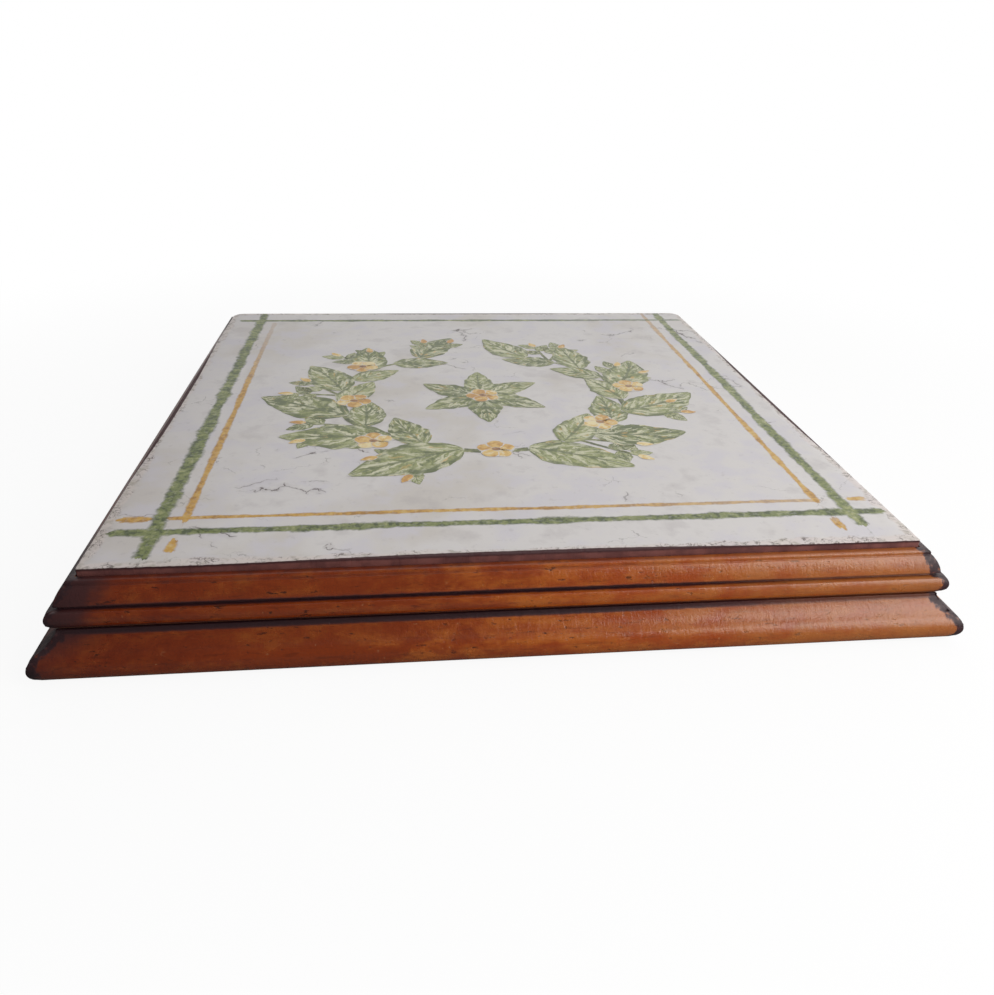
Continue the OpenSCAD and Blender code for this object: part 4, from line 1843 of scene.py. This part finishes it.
@dataclass(frozen=True)
class Adhesive:
    """Set tile adhesive, dull and slightly pitted."""

    dark: Colour = srgb(158, 150, 134)
    light: Colour = srgb(196, 190, 176)
    grain: Cloud = Cloud(900, 4, 0.65)
    rough: float = 0.88
    bump_depth: float = 0.1 * MM

    def material(self) -> bpy.types.Material:
        """Makes the adhesive."""
        material, bench = new_bench("tile_adhesive")
        grain = bench.noise(self.grain)
        colour = bench.mix(bench.ease(grain, 0.35, 0.65), self.dark, self.light)
        normal = bench.bump(grain, self.bump_depth, 0.7)
        finish_surface(bench, colour, self.rough, normal, Specular_IOR_Level=0.25)
        return material


def dress_hidden_parts() -> None:
    """Gives the board, the adhesive and the fasteners their materials."""
    finishes = {"backing_board": Plywood().material(), "tile_adhesive": Adhesive().material()}
    steel = Steel().material()
    for node in ("upper_mitre_nails", "base_mitre_nails", "frame_brads", "board_pins"):
        finishes[node] = steel
    for node, material in finishes.items():
        dress(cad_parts[node], material)
        LOG.info("%s dressed", node)


# The stage


@dataclass(frozen=True)
class Viewpoint:
    """The photograph's viewpoint, from the middle of the tile's face."""

    left: float = 25.9 * MM
    front: float = 255.5 * MM
    above: float = 101.5 * MM
    yaw: float = 7.14
    pitch: float = 28.86
    roll: float = 1.94
    focal_pixels: float = 797.4
    image_side: int = 995
    sensor: float = 36.0

    def build(self, face: float) -> None:
        """Makes the camera.

        Args:
            face: The height of the tile's face.
        """
        yaw, pitch, roll = (math.radians(angle) for angle in (self.yaw, self.pitch, self.roll))
        level = Vector((math.cos(yaw), -math.sin(yaw), 0))
        flat = math.cos(pitch)
        ahead = Vector((math.sin(yaw) * flat, math.cos(yaw) * flat, -math.sin(pitch)))
        rise = level.cross(ahead)
        right = level * math.cos(roll) + rise * math.sin(roll)
        up = rise * math.cos(roll) - level * math.sin(roll)
        data = bpy.data.cameras.new("viewpoint")
        data.sensor_width = self.sensor
        data.lens = self.focal_pixels / self.image_side * self.sensor
        data.clip_start = 10 * MM
        camera = bpy.data.objects.new("viewpoint", data)
        bpy.context.collection.objects.link(camera)
        turn = Matrix((right, up, -ahead)).transposed().to_4x4()
        camera.matrix_world = Matrix.Translation((-self.left, -self.front, face + self.above)) @ turn
        bpy.context.scene.camera = camera


@dataclass(frozen=True)
class Lamp:
    """A soft lamp: a glowing rectangle that faces a point."""

    name: str
    place: Colour
    aim: Colour
    width: float
    length: float
    power: float
    mirrored: bool = True
    colour: Colour = (1.0, 0.985, 0.972)

    def build(self) -> None:
        """Hangs the lamp."""
        data = bpy.data.lights.new(self.name, "AREA")
        data.shape = "RECTANGLE"
        data.size = self.width
        data.size_y = self.length
        data.energy = self.power
        data.color = self.colour
        lamp = bpy.data.objects.new(self.name, data)
        lamp.visible_glossy = self.mirrored
        bpy.context.collection.objects.link(lamp)
        place = Vector(self.place)
        turn = (Vector(self.aim) - place).to_track_quat("-Z", "Y").to_matrix().to_4x4()
        lamp.matrix_world = Matrix.Translation(place) @ turn


@dataclass(frozen=True)
class Studio:
    """A white floor, soft lamps on the right and a pale sky."""

    floor_side: float = 12.0
    floor_gap: float = 0.02 * MM
    sky_front: float = 0.1
    sky_back: float = 1.5
    sky_dim: float = -0.3
    sky_full: float = 1.4
    sky_lean: float = 0.8
    paint_white: float = 0.95
    white_share: float = 0.92
    shadow_reach: float = 0.16
    white_reach: float = 0.36
    bounce: float = 0.42
    glossy_white: float = 0.03
    glossy_floor: float = 0.12
    lamps: tuple[Lamp, ...] = (
        Lamp("front_lamp", (0.30, -0.34, 0.18), (0.0, 0.0, 0.0), 0.26, 0.26, 0.82, mirrored=False),
        Lamp("window", (0.499, -0.363, 0.343), (0.07, -0.105, 0.012), 0.42, 0.65, 2.15),
    )

    def build(self) -> None:
        """Makes the floor, the lamps and the sky."""
        self.floor()
        for lamp in self.lamps:
            lamp.build()
        self.sky_light()

    def floor(self) -> None:
        """Makes the floor, which the camera sees as white with a soft shadow."""
        deselect()
        bpy.ops.mesh.primitive_plane_add(size=self.floor_side, location=(0, 0, -self.floor_gap))
        floor = bpy.context.object
        floor.name = "studio_floor"
        material, bench = new_bench("studio_floor")
        rays = bench.add("ShaderNodeLightPath")
        glossy = rays.outputs["Is Glossy Ray"]
        seen = bench.most(
            rays.outputs["Is Camera Ray"],
            bench.times(glossy, self.glossy_white),
            rays.outputs["Is Transmission Ray"],
        )
        plain = bench.mix(glossy, (self.bounce,) * 3, (self.glossy_floor,) * 3)
        colour = bench.mix(seen, plain, (self.paint_white,) * 3)
        paint = bench.add("ShaderNodeBsdfDiffuse", {"Color": colour})
        glow = bench.add("ShaderNodeEmission", {"Color": WHITE, "Strength": 1.0})
        away = bench.add("ShaderNodeVectorMath", {0: bench.place}, operation="LENGTH").outputs["Value"]
        white = bench.ease(away, self.shadow_reach, self.white_reach, self.white_share, 1.0)
        inputs = {0: bench.times(seen, white), 1: paint.outputs[0], 2: glow.outputs[0]}
        both = bench.add("ShaderNodeMixShader", inputs)
        bench.add("ShaderNodeOutputMaterial", {"Surface": both.outputs[0]})
        dress(floor, material)

    def sky_light(self) -> None:
        """Sets a sky that is brighter behind the object, and which the camera sees as white."""
        world = bpy.data.worlds.new("studio_sky")
        world.use_nodes = True
        bpy.context.scene.world = world
        bench = Bench(world.node_tree)
        rays = bench.add("ShaderNodeLightPath")
        seen = bench.most(rays.outputs["Is Camera Ray"], rays.outputs["Is Transmission Ray"])
        across, towards_back, _ = bench.split(bench.add("ShaderNodeTexCoord").outputs["Generated"])
        towards_window = bench.plus(towards_back, bench.times(across, self.sky_lean))
        strength = bench.ease(towards_window, self.sky_dim, self.sky_full, self.sky_front, self.sky_back)
        light = bench.add("ShaderNodeBackground", {"Color": WHITE, "Strength": strength})
        white = bench.add("ShaderNodeBackground", {"Color": WHITE, "Strength": 1.0})
        both = bench.add("ShaderNodeMixShader", {0: seen, 1: light.outputs[0], 2: white.outputs[0]})
        bench.add("ShaderNodeOutputWorld", {"Surface": both.outputs[0]})


def main() -> None:
    """Builds the trivet and its stage in order."""
    logging.basicConfig(level=logging.INFO, format="%(message)s")
    bpy.context.scene.view_settings.view_transform = "Standard"
    tile_low, tile_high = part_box("tile")
    half_side = tile_high[0]
    base_low, base_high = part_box("base_rail_front")
    upper_low, upper_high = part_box("upper_rail_front")
    Viewpoint().build(tile_high[2])
    Studio().build()
    wood = Wood()
    UpperTier("upper", "frame_wood", half_side, upper_low[2], upper_high[2]).build(wood)
    BaseTier("base", "base_wood", half_side, base_low[2], base_high[2]).build(wood)
    tile = Tile(2 * half_side, tile_low[2], tile_high[2])
    glaze = Glaze(half_side, tile_high[2])
    tile.build(glaze, Border())
    Wreath(Painter(tile), glaze).build()
    felt = Felt().material()
    for corner in ("front_left", "front_right", "back_right", "back_left"):
        FeltPad().build(corner, felt)
    dress_hidden_parts()
    LOG.info("boxes written")


if __name__ == "__main__":
    main()
